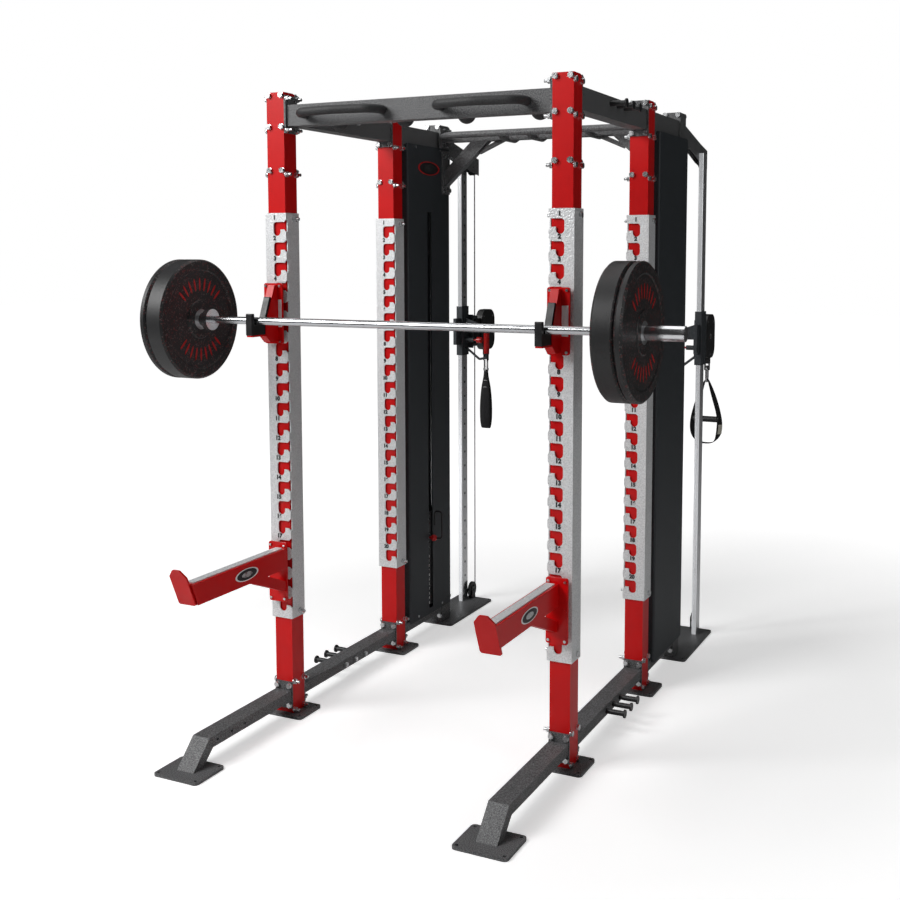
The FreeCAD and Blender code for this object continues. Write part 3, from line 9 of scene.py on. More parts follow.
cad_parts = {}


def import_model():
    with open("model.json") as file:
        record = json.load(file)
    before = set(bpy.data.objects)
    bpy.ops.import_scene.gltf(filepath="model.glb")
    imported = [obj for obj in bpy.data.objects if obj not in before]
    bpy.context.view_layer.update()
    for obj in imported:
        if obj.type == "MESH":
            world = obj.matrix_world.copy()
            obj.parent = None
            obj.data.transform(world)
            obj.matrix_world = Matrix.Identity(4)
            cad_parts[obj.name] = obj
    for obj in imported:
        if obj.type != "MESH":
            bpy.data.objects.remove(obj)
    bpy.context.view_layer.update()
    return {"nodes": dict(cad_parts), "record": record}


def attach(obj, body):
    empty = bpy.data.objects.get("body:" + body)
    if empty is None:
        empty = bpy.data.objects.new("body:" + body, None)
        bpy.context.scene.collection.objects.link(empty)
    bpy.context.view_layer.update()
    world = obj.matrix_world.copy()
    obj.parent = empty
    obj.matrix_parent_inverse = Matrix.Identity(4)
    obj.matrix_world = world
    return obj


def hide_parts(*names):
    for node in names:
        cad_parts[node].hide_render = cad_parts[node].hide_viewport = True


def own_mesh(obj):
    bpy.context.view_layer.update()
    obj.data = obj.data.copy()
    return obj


# ------------------------------------------------------------------ layout, metres
# x runs to the right, y backwards from the front post line, z up from the floor.
SIDES = (("left", -1), ("right", 1))
Y_MIDDLE = 0.5965

POST_X = 0.580
REAR_POST_Y = 0.8074
STRIP_FRONT_Y = -0.0465
NOTCH_PITCH = 0.0763
FIRST_NOTCH_TOP = 1.920
NOTCH_COUNT = 20
PEG_TAIL_X = 0.5499

MOUNT_PLATE_Y = -0.071
MOUNT_SCREW_SPREAD = 0.031
HOOK_SCREW_Z = (1.680, 1.471)
ARM_SCREW_Z = (0.684, 0.476)
ARM_BADGE = (-0.318, 0.636)
ARM_OUTER_X = POST_X + 0.0062
ARM_INNER_X = POST_X - 0.0422

BAR_Y = -0.1955
BAR_Z = 1.5548
HUB_RADIUS = 0.0382
BUMPER_OUTER_X = 0.9202
BUMPER_INNER_X = 0.825

SHROUD_FACE_X = 0.538
SHROUD_SCREW_Y = (0.970, 1.205)
SHROUD_SCREW_Z = (0.108, 2.280)
STACK_Y = 1.092
STACK_FOOT = 0.131
STACK_PLATES = 20
RESTING_PLATES = 14
PLATE_PITCH = 0.0225
PLATE_FACE_X = 0.544
PIN_Z = 0.457
PIN_KNOB_X = 0.522
PIN_KNOB_END_X = 0.5095
PIN_KNOB_RADIUS = 0.0155
STEM_TOP_Z = 0.622
SHEAVE_Z = 2.233

COLUMN_SPLIT_X = 0.62
COLUMN_MID_Y = 1.5875
LOCK_HOLE_Z = 1.364
LOCK_HOLE_RADIUS = 0.0058
HOLE_PITCH = 0.072
SWIVEL_X = 0.592
HOUSING_Y = 1.802
HOUSING_Z = 1.405
HOUSING_HALF = 0.0175
HANDLE_Y = 1.811
LINK_BOTTOM_Z = 1.1845
LINK_RADIUS = 0.0045
STIRRUP_HALF = 0.0655
STIRRUP_ACROSS = (0.55, 0.835, 0.0)
STIRRUP_OUTWARD = (0.835, -0.55, 0.0)

# ------------------------------------------------------------------ camera, studio, colours
CAMERA_AT = (2.0504, -3.694, 1.8062)
CAMERA_YAW = math.radians(25.38)
CAMERA_DOWN = math.radians(5.295)
CAMERA_LENS = 46.59
CAMERA_SHIFT = (-0.0459, -0.0997)
STUDIO_GLOW = (0.06, 0.66)
STUDIO_BRIGHT_SIDE = (-0.75, -0.45, 0.5)
MIRROR_GLOW = 0.30
# strength of the painted reflection, an emission on the column's front faces
COLUMN_PAINTED_REFLECTION = 0.30
FLOOR_HALF = 30.0
FLOOR_FADE = {"From Min": 1.6, "From Max": 4.5, "To Min": 0.50, "To Max": 1.0}

BLACK = (0.012, 0.012, 0.013)
CHROME = (0.90, 0.91, 0.93)

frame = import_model()
nodes = frame["nodes"]


def place(x, y, z):
    """A point given from the front post line, in the row frame."""
    return Vector((x, y - Y_MIDDLE, z))


# ------------------------------------------------------------------ materials
class Paint:
    """A procedural material: a principled shader with bump and colour noise helpers."""

    def __init__(self, name, color, roughness, metallic=0.0, coat=0.0):
        self.material = bpy.data.materials.new(name)
        self.material.use_nodes = True
        self.tree = self.material.node_tree
        self.shader = self.tree.nodes["Principled BSDF"]
        self.set("Base Color", (*color, 1.0))
        self.set("Roughness", roughness)
        self.set("Metallic", metallic)
        self.set("Coat Weight", coat)
        self.set("Coat Roughness", 0.08)
        self.places = self.node("ShaderNodeTexCoord")
        self.position = self.places.outputs["Object"]
        self.bump = None

    def set(self, name, value):
        self.shader.inputs[name].default_value = value

    def node(self, kind, **values):
        made = self.tree.nodes.new(kind)
        for key, value in values.items():
            made.inputs[key].default_value = value
        return made

    def link(self, source, target):
        self.tree.links.new(source, target)

    def noise(self, scale, detail=3.0, roughness=0.5):
        made = self.node("ShaderNodeTexNoise", Scale=scale, Detail=detail, Roughness=roughness)
        self.link(self.position, made.inputs["Vector"])
        return made.outputs["Fac"]

    def cells(self, scale, output="Distance"):
        made = self.node("ShaderNodeTexVoronoi", Scale=scale)
        self.link(self.position, made.inputs["Vector"])
        return made.outputs[output]

    def add_bump(self, height, strength, distance):
        made = self.node("ShaderNodeBump", Strength=strength, Distance=distance)
        self.link(height, made.inputs["Height"])
        if self.bump is not None:
            self.link(self.bump, made.inputs["Normal"])
        self.bump = made.outputs["Normal"]
        self.link(self.bump, self.shader.inputs["Normal"])

    def ramp(self, source, stops):
        made = self.tree.nodes.new("ShaderNodeValToRGB")
        elements = made.color_ramp.elements
        while len(elements) < len(stops):
            elements.new(0.5)
        for element, (at, color) in zip(elements, stops):
            element.position = at
            element.color = (*color, 1.0)
        self.link(source, made.inputs["Fac"])
        return made.outputs["Color"]

    def color_from(self, source, stops):
        self.link(self.ramp(source, stops), self.shader.inputs["Base Color"])

    def math(self, operation, first, second=0.0):
        """Scalar operation on two values, each a number or another node's output."""
        made = self.tree.nodes.new("ShaderNodeMath")
        made.operation = operation
        for value, socket in zip((first, second), made.inputs):
            if isinstance(value, (int, float)):
                socket.default_value = value
            else:
                self.link(value, socket)
        return made.outputs[0]

    def part_of(self, vector, axis):
        split = self.tree.nodes.new("ShaderNodeSeparateXYZ")
        self.link(vector, split.inputs["Vector"])
        return split.outputs[axis]

    def coordinate(self, axis):
        return self.part_of(self.position, axis)

    def facing(self, axis):
        """How far the surface faces along an axis, from -1 to 1."""
        return self.part_of(self.places.outputs["Normal"], axis)

    def inside_circle(self, first, second, radius):
        """1 where the two offsets from a centre lie within the radius."""
        square = self.math("ADD", self.math("MULTIPLY", first, first), self.math("MULTIPLY", second, second))
        return self.math("LESS_THAN", square, radius * radius)

    def two_colors(self, factor, first, second):
        """The first colour where factor is 0, the second where it is 1."""
        mix = self.tree.nodes.new("ShaderNodeMix")
        mix.data_type = "RGBA"
        self.link(factor, mix.inputs["Factor"])
        for value, socket in ((first, mix.inputs["A"]), (second, mix.inputs["B"])):
            if isinstance(value, tuple):
                socket.default_value = (*value, 1.0)
            else:
                self.link(value, socket)
        self.link(mix.outputs["Result"], self.shader.inputs["Base Color"])

    def roughness_from(self, source, low, high):
        stops = [(0.3, (low,) * 3), (0.7, (high,) * 3)]
        self.link(self.ramp(source, stops), self.shader.inputs["Roughness"])


def red_paint():
    paint = Paint("red_paint", (0.66, 0.001, 0.002), 0.36, coat=0.12)
    paint.set("Specular IOR Level", 0.25)
    paint.add_bump(paint.noise(420, 2), 0.05, 0.0004)
    paint.color_from(paint.noise(6), [(0.3, (0.62, 0.001, 0.002)), (0.7, (0.72, 0.002, 0.003))])
    return paint.material


def wrinkle_paint(name, dark, light, rough, scale=340):
    """Wrinkle powder coat with a pale fleck."""
    paint = Paint(name, dark, rough)
    grain = paint.noise(scale, 5, 0.7)
    paint.color_from(grain, [(0.42, dark), (0.62, light)])
    paint.add_bump(grain, 0.5, 0.0010)
    paint.add_bump(paint.noise(scale * 3, 2), 0.2, 0.0004)
    return paint.material


def hammered_silver():
    paint = Paint("hammered_silver", (0.75, 0.76, 0.77), 0.36, metallic=0.25)
    dimples = paint.cells(190)
    silver = [(0.0, (0.52, 0.53, 0.54)), (0.30, (0.76, 0.77, 0.78)), (0.8, (0.90, 0.91, 0.92))]
    paint.color_from(dimples, silver)
    paint.add_bump(dimples, 0.6, 0.0018)
    paint.add_bump(paint.noise(700), 0.2, 0.0006)
    return paint.material


def metal(name, color, rough, streak=0.0):
    paint = Paint(name, color, rough, metallic=1.0)
    paint.roughness_from(paint.noise(45, 4), rough * 0.7, rough * 1.4)
    if streak:
        paint.add_bump(paint.noise(streak), 0.12, 0.0003)
    return paint.material


def column_chrome():
    """Chromed flat column, with painted shade in its locating holes and a painted reflection glowing on its
    front face.
    """
    metallic = 0.85
    paint = Paint("column_chrome", CHROME, 0.2, metallic=metallic)
    along = paint.math("SUBTRACT", paint.coordinate("Z"), LOCK_HOLE_Z)
    along = paint.math("PINGPONG", along, HOLE_PITCH / 2)
    across = paint.math("SUBTRACT", paint.coordinate("Y"), COLUMN_MID_Y - Y_MIDDLE)
    in_circle = paint.inside_circle(along, across, LOCK_HOLE_RADIUS)
    inner_side = paint.math("LESS_THAN", paint.math("ABSOLUTE", paint.coordinate("X")), COLUMN_SPLIT_X)
    # Painted shade: near-black, non-metallic discs where the locating holes are stand in for the holes'
    # shaded insides.
    hole_shade = paint.math("MULTIPLY", in_circle, inner_side)
    paint.two_colors(hole_shade, CHROME, (0.004, 0.004, 0.004))
    paint.link(paint.math("SUBTRACT", metallic, hole_shade), paint.shader.inputs["Metallic"])
    # Painted reflection: an emission on the front faces, away from the holes, stands in for the bright studio
    # mirrored in the chrome.
    front = paint.math("LESS_THAN", paint.facing("Y"), -0.5)
    paint.set("Emission Color", (0.9, 0.92, 0.95, 1.0))
    lit = paint.math("MULTIPLY", front, paint.math("SUBTRACT", 1.0, hole_shade))
    paint.link(paint.math("MULTIPLY", lit, COLUMN_PAINTED_REFLECTION), paint.shader.inputs["Emission Strength"])
    paint.add_bump(paint.noise(60, 3), 0.05, 0.0004)
    return paint.material


def shaft_chrome():
    """Polished bar with knurled bands either side of the middle."""
    paint = Paint("shaft_chrome", (0.60, 0.61, 0.63), 0.20, metallic=1.0)
    side = paint.math("ABSOLUTE", paint.coordinate("X"))
    band = paint.ramp(side, [(0.0, (0,) * 3), (0.20, (0,) * 3), (0.205, (1,) * 3), (0.60, (1,) * 3)])
    paint.add_bump(paint.math("MULTIPLY", paint.cells(1300), band), 0.2, 0.0003)
    return paint.material


def bumper_rubber():
    """Dark moulded rubber with sparse coloured crumb flecks and a steel hub."""
    black = (0.016, 0.016, 0.017)
    paint = Paint("bumper_rubber", black, 0.42)
    split = paint.tree.nodes.new("ShaderNodeSeparateColor")
    paint.link(paint.cells(220, "Color"), split.inputs["Color"])
    flecks = [(0.0, black), (0.82, black), (0.86, (0.14, 0.014, 0.016)), (0.94, (0.10, 0.09, 0.09))]
    on_face = paint.math("GREATER_THAN", paint.math("ABSOLUTE", paint.facing("X")), 0.6)
    base = paint.ramp(paint.math("MULTIPLY", split.outputs["Red"], on_face), flecks)
    bar = place(0, BAR_Y, BAR_Z)
    off_y = paint.math("SUBTRACT", paint.coordinate("Y"), bar.y)
    off_z = paint.math("SUBTRACT", paint.coordinate("Z"), bar.z)
    hub = paint.inside_circle(off_y, off_z, HUB_RADIUS)
    paint.two_colors(hub, base, (0.5, 0.5, 0.51))
    paint.link(hub, paint.shader.inputs["Metallic"])
    paint.add_bump(paint.noise(300, 4), 0.45, 0.0014)
    return paint.material


def pin_plastic():
    """Red knob and shank of the selector pin; its wire bail is black."""
    paint = Paint("pin_plastic", BLACK, 0.35)
    below_wire = paint.math("LESS_THAN", paint.coordinate("Z"), PIN_Z + 0.013)
    behind_end = paint.math("GREATER_THAN", paint.math("ABSOLUTE", paint.coordinate("X")), PIN_KNOB_END_X)
    paint.two_colors(paint.math("MULTIPLY", below_wire, behind_end), BLACK, (0.55, 0.004, 0.006))
    paint.add_bump(paint.noise(600, 2), 0.1, 0.0003)
    return paint.material


def peg_paint():
    """Black band pegs, bare zinc at their tails and nuts on the inner side of the rails."""
    black = (0.014, 0.015, 0.016)
    paint = Paint("peg_paint", black, 0.4)
    tail = paint.math("LESS_THAN", paint.math("ABSOLUTE", paint.coordinate("X")), PEG_TAIL_X)
    paint.two_colors(tail, black, (0.66, 0.67, 0.68))
    paint.link(tail, paint.shader.inputs["Metallic"])
    paint.add_bump(paint.noise(340, 4), 0.2, 0.0006)
    return paint.material


def plastic(name, color, rough):
    paint = Paint(name, color, rough)
    paint.add_bump(paint.noise(600, 2), 0.15, 0.0004)
    paint.roughness_from(paint.noise(30), rough * 0.8, rough * 1.25)
    return paint.material


def webbing():
    """Woven nylon: fine diagonal ribs."""
    paint = Paint("webbing", BLACK, 0.6)
    paint.set("Specular IOR Level", 0.3)
    wave = paint.node("ShaderNodeTexWave", Scale=260.0, Distortion=0.6)
    wave.bands_direction = "DIAGONAL"
    paint.link(paint.position, wave.inputs["Vector"])
    paint.add_bump(wave.outputs["Fac"], 0.7, 0.0008)
    paint.color_from(wave.outputs["Fac"], [(0.2, (0.005, 0.005, 0.006)), (0.8, (0.020, 0.020, 0.022))])
    return paint.material


MATERIALS = {
    "red_paint": red_paint(),
    "charcoal_paint": wrinkle_paint("charcoal_paint", (0.028, 0.029, 0.030), (0.250, 0.252, 0.258), 0.5, 300),
    "black_sheet": wrinkle_paint("black_sheet", (0.020, 0.024, 0.028), (0.050, 0.059, 0.067), 0.5),
    "hammered_silver": hammered_silver(),
    "zinc": metal("zinc", (0.68, 0.69, 0.70), 0.25, 300),
    "chrome": metal("chrome", CHROME, 0.16),
    "grip_coat": wrinkle_paint("grip_coat", BLACK, (0.05, 0.05, 0.052), 0.6),
    "stack_steel": wrinkle_paint("stack_steel", BLACK, (0.03, 0.03, 0.032), 0.4),
    "cable": plastic("cable", BLACK, 0.35),
    "black_plastic": plastic("black_plastic", BLACK, 0.38),
    "red_plastic": plastic("red_plastic", (0.55, 0.010, 0.010), 0.3),
    "bumper_rubber": bumper_rubber(),
    "buffer_rubber": plastic("buffer_rubber", (0.02, 0.02, 0.02), 0.7),
    "webbing": webbing(),
    "shaft_chrome": shaft_chrome(),
    "ink": plastic("ink", (0.02, 0.02, 0.022), 0.5),
    "steel_wire": metal("steel_wire", (0.6, 0.6, 0.62), 0.3, 500),
    "label_white": plastic("label_white", (0.92, 0.92, 0.92), 0.5),
    "patch_cream": plastic("patch_cream", (0.62, 0.60, 0.52), 0.8),
    "pin_plastic": pin_plastic(),
    "column_chrome": column_chrome(),
    "peg_paint": peg_paint(),
}


def dress(obj, slot):
    obj.data.materials.clear()
    obj.data.materials.append(MATERIALS[slot])


def soften(obj, width):
    """Rounds the visible edges of a CAD node."""
    bevel = obj.modifiers.new("edge", "BEVEL")
    bevel.width = width
    bevel.segments = 2
    bevel.limit_method = "ANGLE"
    bevel.angle_limit = math.radians(40)
    bevel.harden_normals = False


SLOT_OF = {entry["node"]: entry["material_slot"] for entry in frame["record"]["subparts"]}
EDGES = {
    "posts": 0.003,
    "tower_uprights": 0.003,
    "front_feet": 0.0025,
    "base_rails": 0.0025,
    "top_rails": 0.0025,
    "front_cross_beam": 0.0025,
    "notch_strips": 0.0008,
    "floor_plates": 0.001,
}
PAIRED_EDGES = {
    # width for the left and the right node of each pair
    "carriage": 0.001,
    "swivel_housing": 0.002,
    "jhook": 0.001,
    "jhook_liner": 0.0055,
    "spotter_arm": 0.0015,
    "bumper_plates": 0.002,
}
for part_name, edge_width in PAIRED_EDGES.items():
    for side_name, _ in SIDES:
        EDGES[f"{part_name}_{side_name}"] = edge_width
SPECIAL_SLOTS = {
    # nodes that need more than the material their record names
    "selector_pin_left": "pin_plastic",
    "selector_pin_right": "pin_plastic",
    "band_pegs": "peg_paint",
    "column_cables": "steel_wire",
    "pulley_columns": "column_chrome",
}
for name, obj in nodes.items():
    dress(obj, SPECIAL_SLOTS.get(name, SLOT_OF[name]))
    if name in EDGES:
        soften(obj, EDGES[name])


# ------------------------------------------------------------------ small helpers
def new_piece(name, mesh, slot, body):
    obj = bpy.data.objects.new(name, mesh)
    bpy.context.scene.collection.objects.link(obj)
    mesh.materials.append(MATERIALS[slot])
    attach(obj, body)
    return obj


def mesh_of_curve(curve):
    """The mesh that a curve or a text draws."""
    holder = bpy.data.objects.new("holder", curve)
    bpy.context.scene.collection.objects.link(holder)
    bpy.context.view_layer.update()
    depsgraph = bpy.context.evaluated_depsgraph_get()
    mesh = bpy.data.meshes.new_from_object(holder.evaluated_get(depsgraph))
    bpy.data.objects.remove(holder)
    return mesh


def finished(work, name):
    """The mesh of a bmesh, which is freed."""
    mesh = bpy.data.meshes.new(name)
    work.to_mesh(mesh)
    work.free()
    return mesh


def shade_smooth(mesh):
    for polygon in mesh.polygons:
        polygon.use_smooth = True


def tube_mesh(name, path, radius, closed=False):
    """Round tube along a list of points."""
    curve = bpy.data.curves.new(name, "CURVE")
    curve.dimensions = "3D"
    spline = curve.splines.new("POLY")
    spline.points.add(len(path) - 1)
    for point, at in zip(spline.points, path):
        point.co = (*at, 1.0)
    spline.use_cyclic_u = closed
    curve.bevel_depth = radius
    curve.bevel_resolution = 3
    curve.use_fill_caps = True
    return mesh_of_curve(curve)


def text_mesh(text, size, depth, bold):
    curve = bpy.data.curves.new("text", "FONT")
    curve.body = text
    curve.size = size
    curve.extrude = depth
    curve.offset = bold
    curve.align_x = "CENTER"
    curve.align_y = "CENTER"
    return mesh_of_curve(curve)


def joined(meshes):
    """One mesh out of (mesh, matrix) pairs."""
    work = bmesh.new()
    for mesh, matrix in meshes:
        copy = mesh.copy()
        copy.transform(matrix)
        work.from_mesh(copy)
        bpy.data.meshes.remove(copy)
    return finished(work, "joined")


def disc_mesh(length, height, thick, steps=40):
    """Flat ellipse facing +Z of its own axes, with a little thickness."""
    work = bmesh.new()
    ring = []
    for i in range(steps):
        turn = 2 * math.pi * i / steps
        ring.append(work.verts.new((length / 2 * math.cos(turn), height / 2 * math.sin(turn), 0)))
    face = work.faces.new(ring)
    made = bmesh.ops.extrude_face_region(work, geom=[face])
    raised = [v for v in made["geom"] if isinstance(v, bmesh.types.BMVert)]
    bmesh.ops.translate(work, verts=raised, vec=(0, 0, thick))
    return finished(work, "disc")


def upright_facing(side_x, side_y):
    """Turn that stands a flat XY drawing upright, facing the given horizontal direction."""
    normal = Vector((side_x, side_y, 0)).normalized()
    up = Vector((0, 0, 1))
    across = up.cross(normal)
    return Matrix((across, up, normal)).transposed().to_4x4()


# ------------------------------------------------------------------ numbers
def strip_numbers():
    """One number above each notch of the four strips."""
    digits = [text_mesh(str(i + 1), size=0.022, depth=0.0004, bold=0.0012) for i in range(NOTCH_COUNT)]
    facing = upright_facing(0, -1)
    above_notch = 0.0155
    for row, post_y in (("front", 0.0), ("rear", REAR_POST_Y)):
        for side, x in (("left", -POST_X - 0.006), ("right", POST_X - 0.007)):
            pairs = []
            for i, mesh in enumerate(digits):
                z = FIRST_NOTCH_TOP - NOTCH_PITCH * i + above_notch
                at = place(x, post_y + STRIP_FRONT_Y - 0.0008, z)
                pairs.append((mesh, Matrix.Translation(at) @ facing))
            new_piece(f"numbers_{row}_{side}", joined(pairs), "ink", "frame")


def plate_numbers():
    """White numbers on the stack plates, readable through the slot."""
    middle_of_plate = 0.011
    beside_pin_hole = 0.0115
    for side, sign in SIDES:
        facing = upright_facing(-sign, 0)
        resting, lifted = [], []
        for i in range(STACK_PLATES):
            mesh = text_mesh(str(STACK_PLATES - i), size=0.016, depth=0.0002, bold=0.0008)
            z = STACK_FOOT + i * PLATE_PITCH + middle_of_plate
            at = place(sign * (PLATE_FACE_X - 0.0002), STACK_Y - beside_pin_hole, z)
            pairs = resting if i < RESTING_PLATES else lifted
            pairs.append((mesh, Matrix.Translation(at) @ facing))
        new_piece(f"resting_numbers_{side}", joined(resting), "label_white", "frame")
        new_piece(f"lifted_numbers_{side}", joined(lifted), "label_white", f"stack_{side}")


# ------------------------------------------------------------------ badges, labels and small hardware
def badge(name, at, facing, length, height, body, rim_slot, lens_slot):
    """Unlettered oval badge: a rim round a dark field with a shallow raised lens."""
    layers = ((1.0, 0.0006, rim_slot), (0.86, 0.0010, "black_plastic"), (0.45, 0.0014, lens_slot))
    for i, (scale, thick, slot) in enumerate(layers):
        mesh = disc_mesh(length * scale, height * scale, thick)
        mesh.transform(Matrix.Translation(at) @ facing)
        new_piece(f"{name}_{i}", mesh, slot, body)


def badges():
    """A large badge at the head of each tower, and one on each side of both arms."""
    for side, sign in SIDES:
        at = place(sign * SHROUD_FACE_X, 1.09, 2.191)
        facing = upright_facing(-sign, 0)
        badge(f"tower_badge_{side}", at, facing, 0.205, 0.063, "frame", "red_plastic", "buffer_rubber")
        for which, x, out in (("outer", ARM_OUTER_X, 1), ("inner", ARM_INNER_X, -1)):
            at = place(sign * x, *ARM_BADGE)
            facing = upright_facing(sign * out, 0)
            name = f"arm_badge_{which}_{side}"
            badge(name, at, facing, 0.135, 0.045, f"arm_{side}", "label_white", "zinc")


def panel_screws():
    """Flat round screw heads at the corners of each shroud's inner face."""
    head = disc_mesh(0.011, 0.011, 0.0016, steps=16)
    for side, sign in SIDES:
        facing = upright_facing(-sign, 0)
        pairs = []
        for y in SHROUD_SCREW_Y:
            for z in SHROUD_SCREW_Z:
                pairs.append((head, Matrix.Translation(place(sign * SHROUD_FACE_X, y, z)) @ facing))
        new_piece(f"panel_screws_{side}", joined(pairs), "zinc", "frame")


def mount_screws():
    """Bright screw heads on the mount plates of hooks and arms."""
    head = disc_mesh(0.010, 0.010, 0.001, steps=16)
    facing = upright_facing(0, -1)
    head_height = 0.0041
    for side, sign in SIDES:
        for name, heights in (("hook", HOOK_SCREW_Z), ("arm", ARM_SCREW_Z)):
            pairs = []
            for spread in (-MOUNT_SCREW_SPREAD, MOUNT_SCREW_SPREAD):
                for z in heights:
                    at = place(sign * (POST_X + spread), MOUNT_PLATE_Y - head_height, z)
                    pairs.append((head, Matrix.Translation(at) @ facing))
            new_piece(f"{name}_screws_{side}", joined(pairs), "zinc", f"{name}_{side}")


def housing_caps():
    """Axle cap and cover screws on both sides of the swivel pulley housings."""
    cap = disc_mesh(0.026, 0.026, 0.002, steps=24)
    screw = disc_mesh(0.009, 0.009, 0.002, steps=24)
    spots = [(0.0, 0.0, cap), (-0.055, 0.070, screw), (0.055, 0.070, screw), (0.0, -0.085, screw)]
    for side, sign in SIDES:
        pairs = []
        for out in (-1, 1):
            face_x = sign * SWIVEL_X + out * HOUSING_HALF
            facing = upright_facing(out, 0)
            for dy, dz, mesh in spots:
                at = place(face_x, HOUSING_Y + dy, HOUSING_Z + dz)
                pairs.append((mesh, Matrix.Translation(at) @ facing))
        new_piece(f"housing_caps_{side}", joined(pairs), "zinc", f"swivel_{side}")


def pin_knobs():
    """Round the selector pin's knob off to a ball."""
    for side, sign in SIDES:
        work = bmesh.new()
        bmesh.ops.create_uvsphere(work, u_segments=24, v_segments=14, radius=PIN_KNOB_RADIUS)
        mesh = finished(work, "knob")
        mesh.transform(Matrix.Translation(place(sign * PIN_KNOB_X, STACK_Y, PIN_Z)))
        shade_smooth(mesh)
        new_piece(f"pin_knob_{side}", mesh, "red_plastic", f"pin_{side}")


def bumper_marks():
    """Plain red strokes in two arcs on both faces of the bumper plates."""
    stroke = disc_mesh(0.0085, 0.050, 0.0006, steps=12)
    outwards = Matrix.Translation((0, 0.132, 0))
    steps_from_top = range(-4, 5)
    step_angle = 12.0
    for side, sign in SIDES:
        pairs = []
        for face_x, out in ((BUMPER_OUTER_X, 1), (BUMPER_INNER_X, -1)):
            facing = upright_facing(sign * out, 0)
            centre = Matrix.Translation(place(sign * face_x, BAR_Y, BAR_Z))
            for half_turn in (0, 180):
                for step in steps_from_top:
                    turn = Matrix.Rotation(math.radians(half_turn + step * step_angle), 4, "Z")
                    pairs.append((stroke, centre @ facing @ turn @ outwards))
        new_piece(f"bumper_marks_{side}", joined(pairs), "red_plastic", f"sleeve_{side}")


def hook_labels():
    """Blank white sticker on each hook plate, beside the bracket."""
    facing = upright_facing(0, -1)
    height, thick = 0.104, 0.0004
    for side, x, width in (("left", -POST_X + 0.030, 0.015), ("right", POST_X + 0.0245, 0.024)):
        work = bmesh.new()
        bmesh.ops.create_cube(work, size=1.0)
        mesh = finished(work, f"hook_label_{side}")
        mesh.transform(Matrix.Diagonal((width, height, thick, 1.0)))
        mesh.transform(Matrix.Translation(place(x, MOUNT_PLATE_Y - 0.0002, 1.577)) @ facing)
        new_piece(f"hook_label_{side}", mesh, "label_white", f"hook_{side}")


# ------------------------------------------------------------------ stack cables
def stack_cables():
    """Wire over each stack, from the top of the stem up to the sheave."""
    for side, sign in SIDES:
        path = [place(sign * POST_X, STACK_Y, STEM_TOP_Z), place(sign * POST_X, STACK_Y, SHEAVE_Z)]
        cable = new_piece(f"stack_wire_{side}", tube_mesh("wire", path, 0.003), "cable", "frame")
        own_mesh(cable)
        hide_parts(f"stack_cable_{side}")


# ------------------------------------------------------------------ soft goods
def band_mesh(path, widths, thick, directions):
    """Closed flat band along a path of points, with a width and a width direction at each point."""
    work = bmesh.new()
    rows = []
    count = len(path)
    for i, at in enumerate(path):
        along = (path[(i + 1) % count] - path[i - 1]).normalized()
        across = Vector(directions[i])
        out = along.cross(across).normalized()
        half = widths[i] / 2
        corners = [(-half, -thick / 2), (half, -thick / 2), (half, thick / 2), (-half, thick / 2)]
        rows.append([work.verts.new(at + across * a + out * b) for a, b in corners])
    for i in range(count):
        here, after = rows[i], rows[(i + 1) % count]
        for k in range(4):
            work.faces.new((here[k], here[(k + 1) % 4], after[(k + 1) % 4], after[k]))
    bmesh.ops.recalc_face_normals(work, faces=work.faces)
    return finished(work, "band")


def strap_piece(name, mesh, body, cad_node):
    """Rounded webbing that stands in for a CAD node."""
    strap = new_piece(name, mesh, "webbing", body)
    shade_smooth(mesh)
    surface = strap.modifiers.new("smooth", "SUBSURF")
    surface.levels = 2
    surface.render_levels = 2
    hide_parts(cad_node)


def ankle_cuff():
    """Padded cuff hanging folded in two, narrow at the link and full at the bottom."""
    profile = [
        (1.191, 0.0045, 0.022), (1.165, 0.006, 0.024), (1.145, 0.007, 0.030),
        (1.115, 0.0085, 0.044), (1.085, 0.010, 0.054), (1.024, 0.012, 0.065),
        (0.950, 0.013, 0.067), (0.905, 0.011, 0.061), (0.880, 0.006, 0.052),
    ]
    front = [(place(-SWIVEL_X, HANDLE_Y - depth, z), width) for z, depth, width in profile]
    rear = [(place(-SWIVEL_X, HANDLE_Y + depth, z), width) for z, depth, width in reversed(profile)]
    loop = front + rear
    mesh = band_mesh([p for p, w in loop], [w for p, w in loop], 0.0055, [(1, 0, 0)] * len(loop))
    strap_piece("ankle_cuff", mesh, "handle_left", "ankle_strap")


def cuff_ring():
    """Wire ring through the top of the cuff."""
    turns = [2 * math.pi * i / 24 for i in range(24)]
    ring = [place(-SWIVEL_X + 0.014 * math.cos(t), HANDLE_Y, 1.193 + 0.013 * math.sin(t)) for t in turns]
    new_piece("cuff_ring", tube_mesh("ring", ring, 0.0022, closed=True), "zinc", "handle_left")


def cuff_stitches():
    """Short white bars of stitching on both faces of the cuff."""
    stitches = []
    half_stitch = 0.010
    cuff_face = 0.0118
    for z in (1.135, 1.10, 0.955, 0.925):
        for sign in (-1, 1):
            y = HANDLE_Y + sign * cuff_face
            dash = [place(-SWIVEL_X - half_stitch, y, z), place(-SWIVEL_X + half_stitch, y, z)]
            stitches.append((tube_mesh("dash", dash, 0.0007), Matrix.Identity(4)))
    new_piece("cuff_stitches", joined(stitches), "label_white", "handle_left")


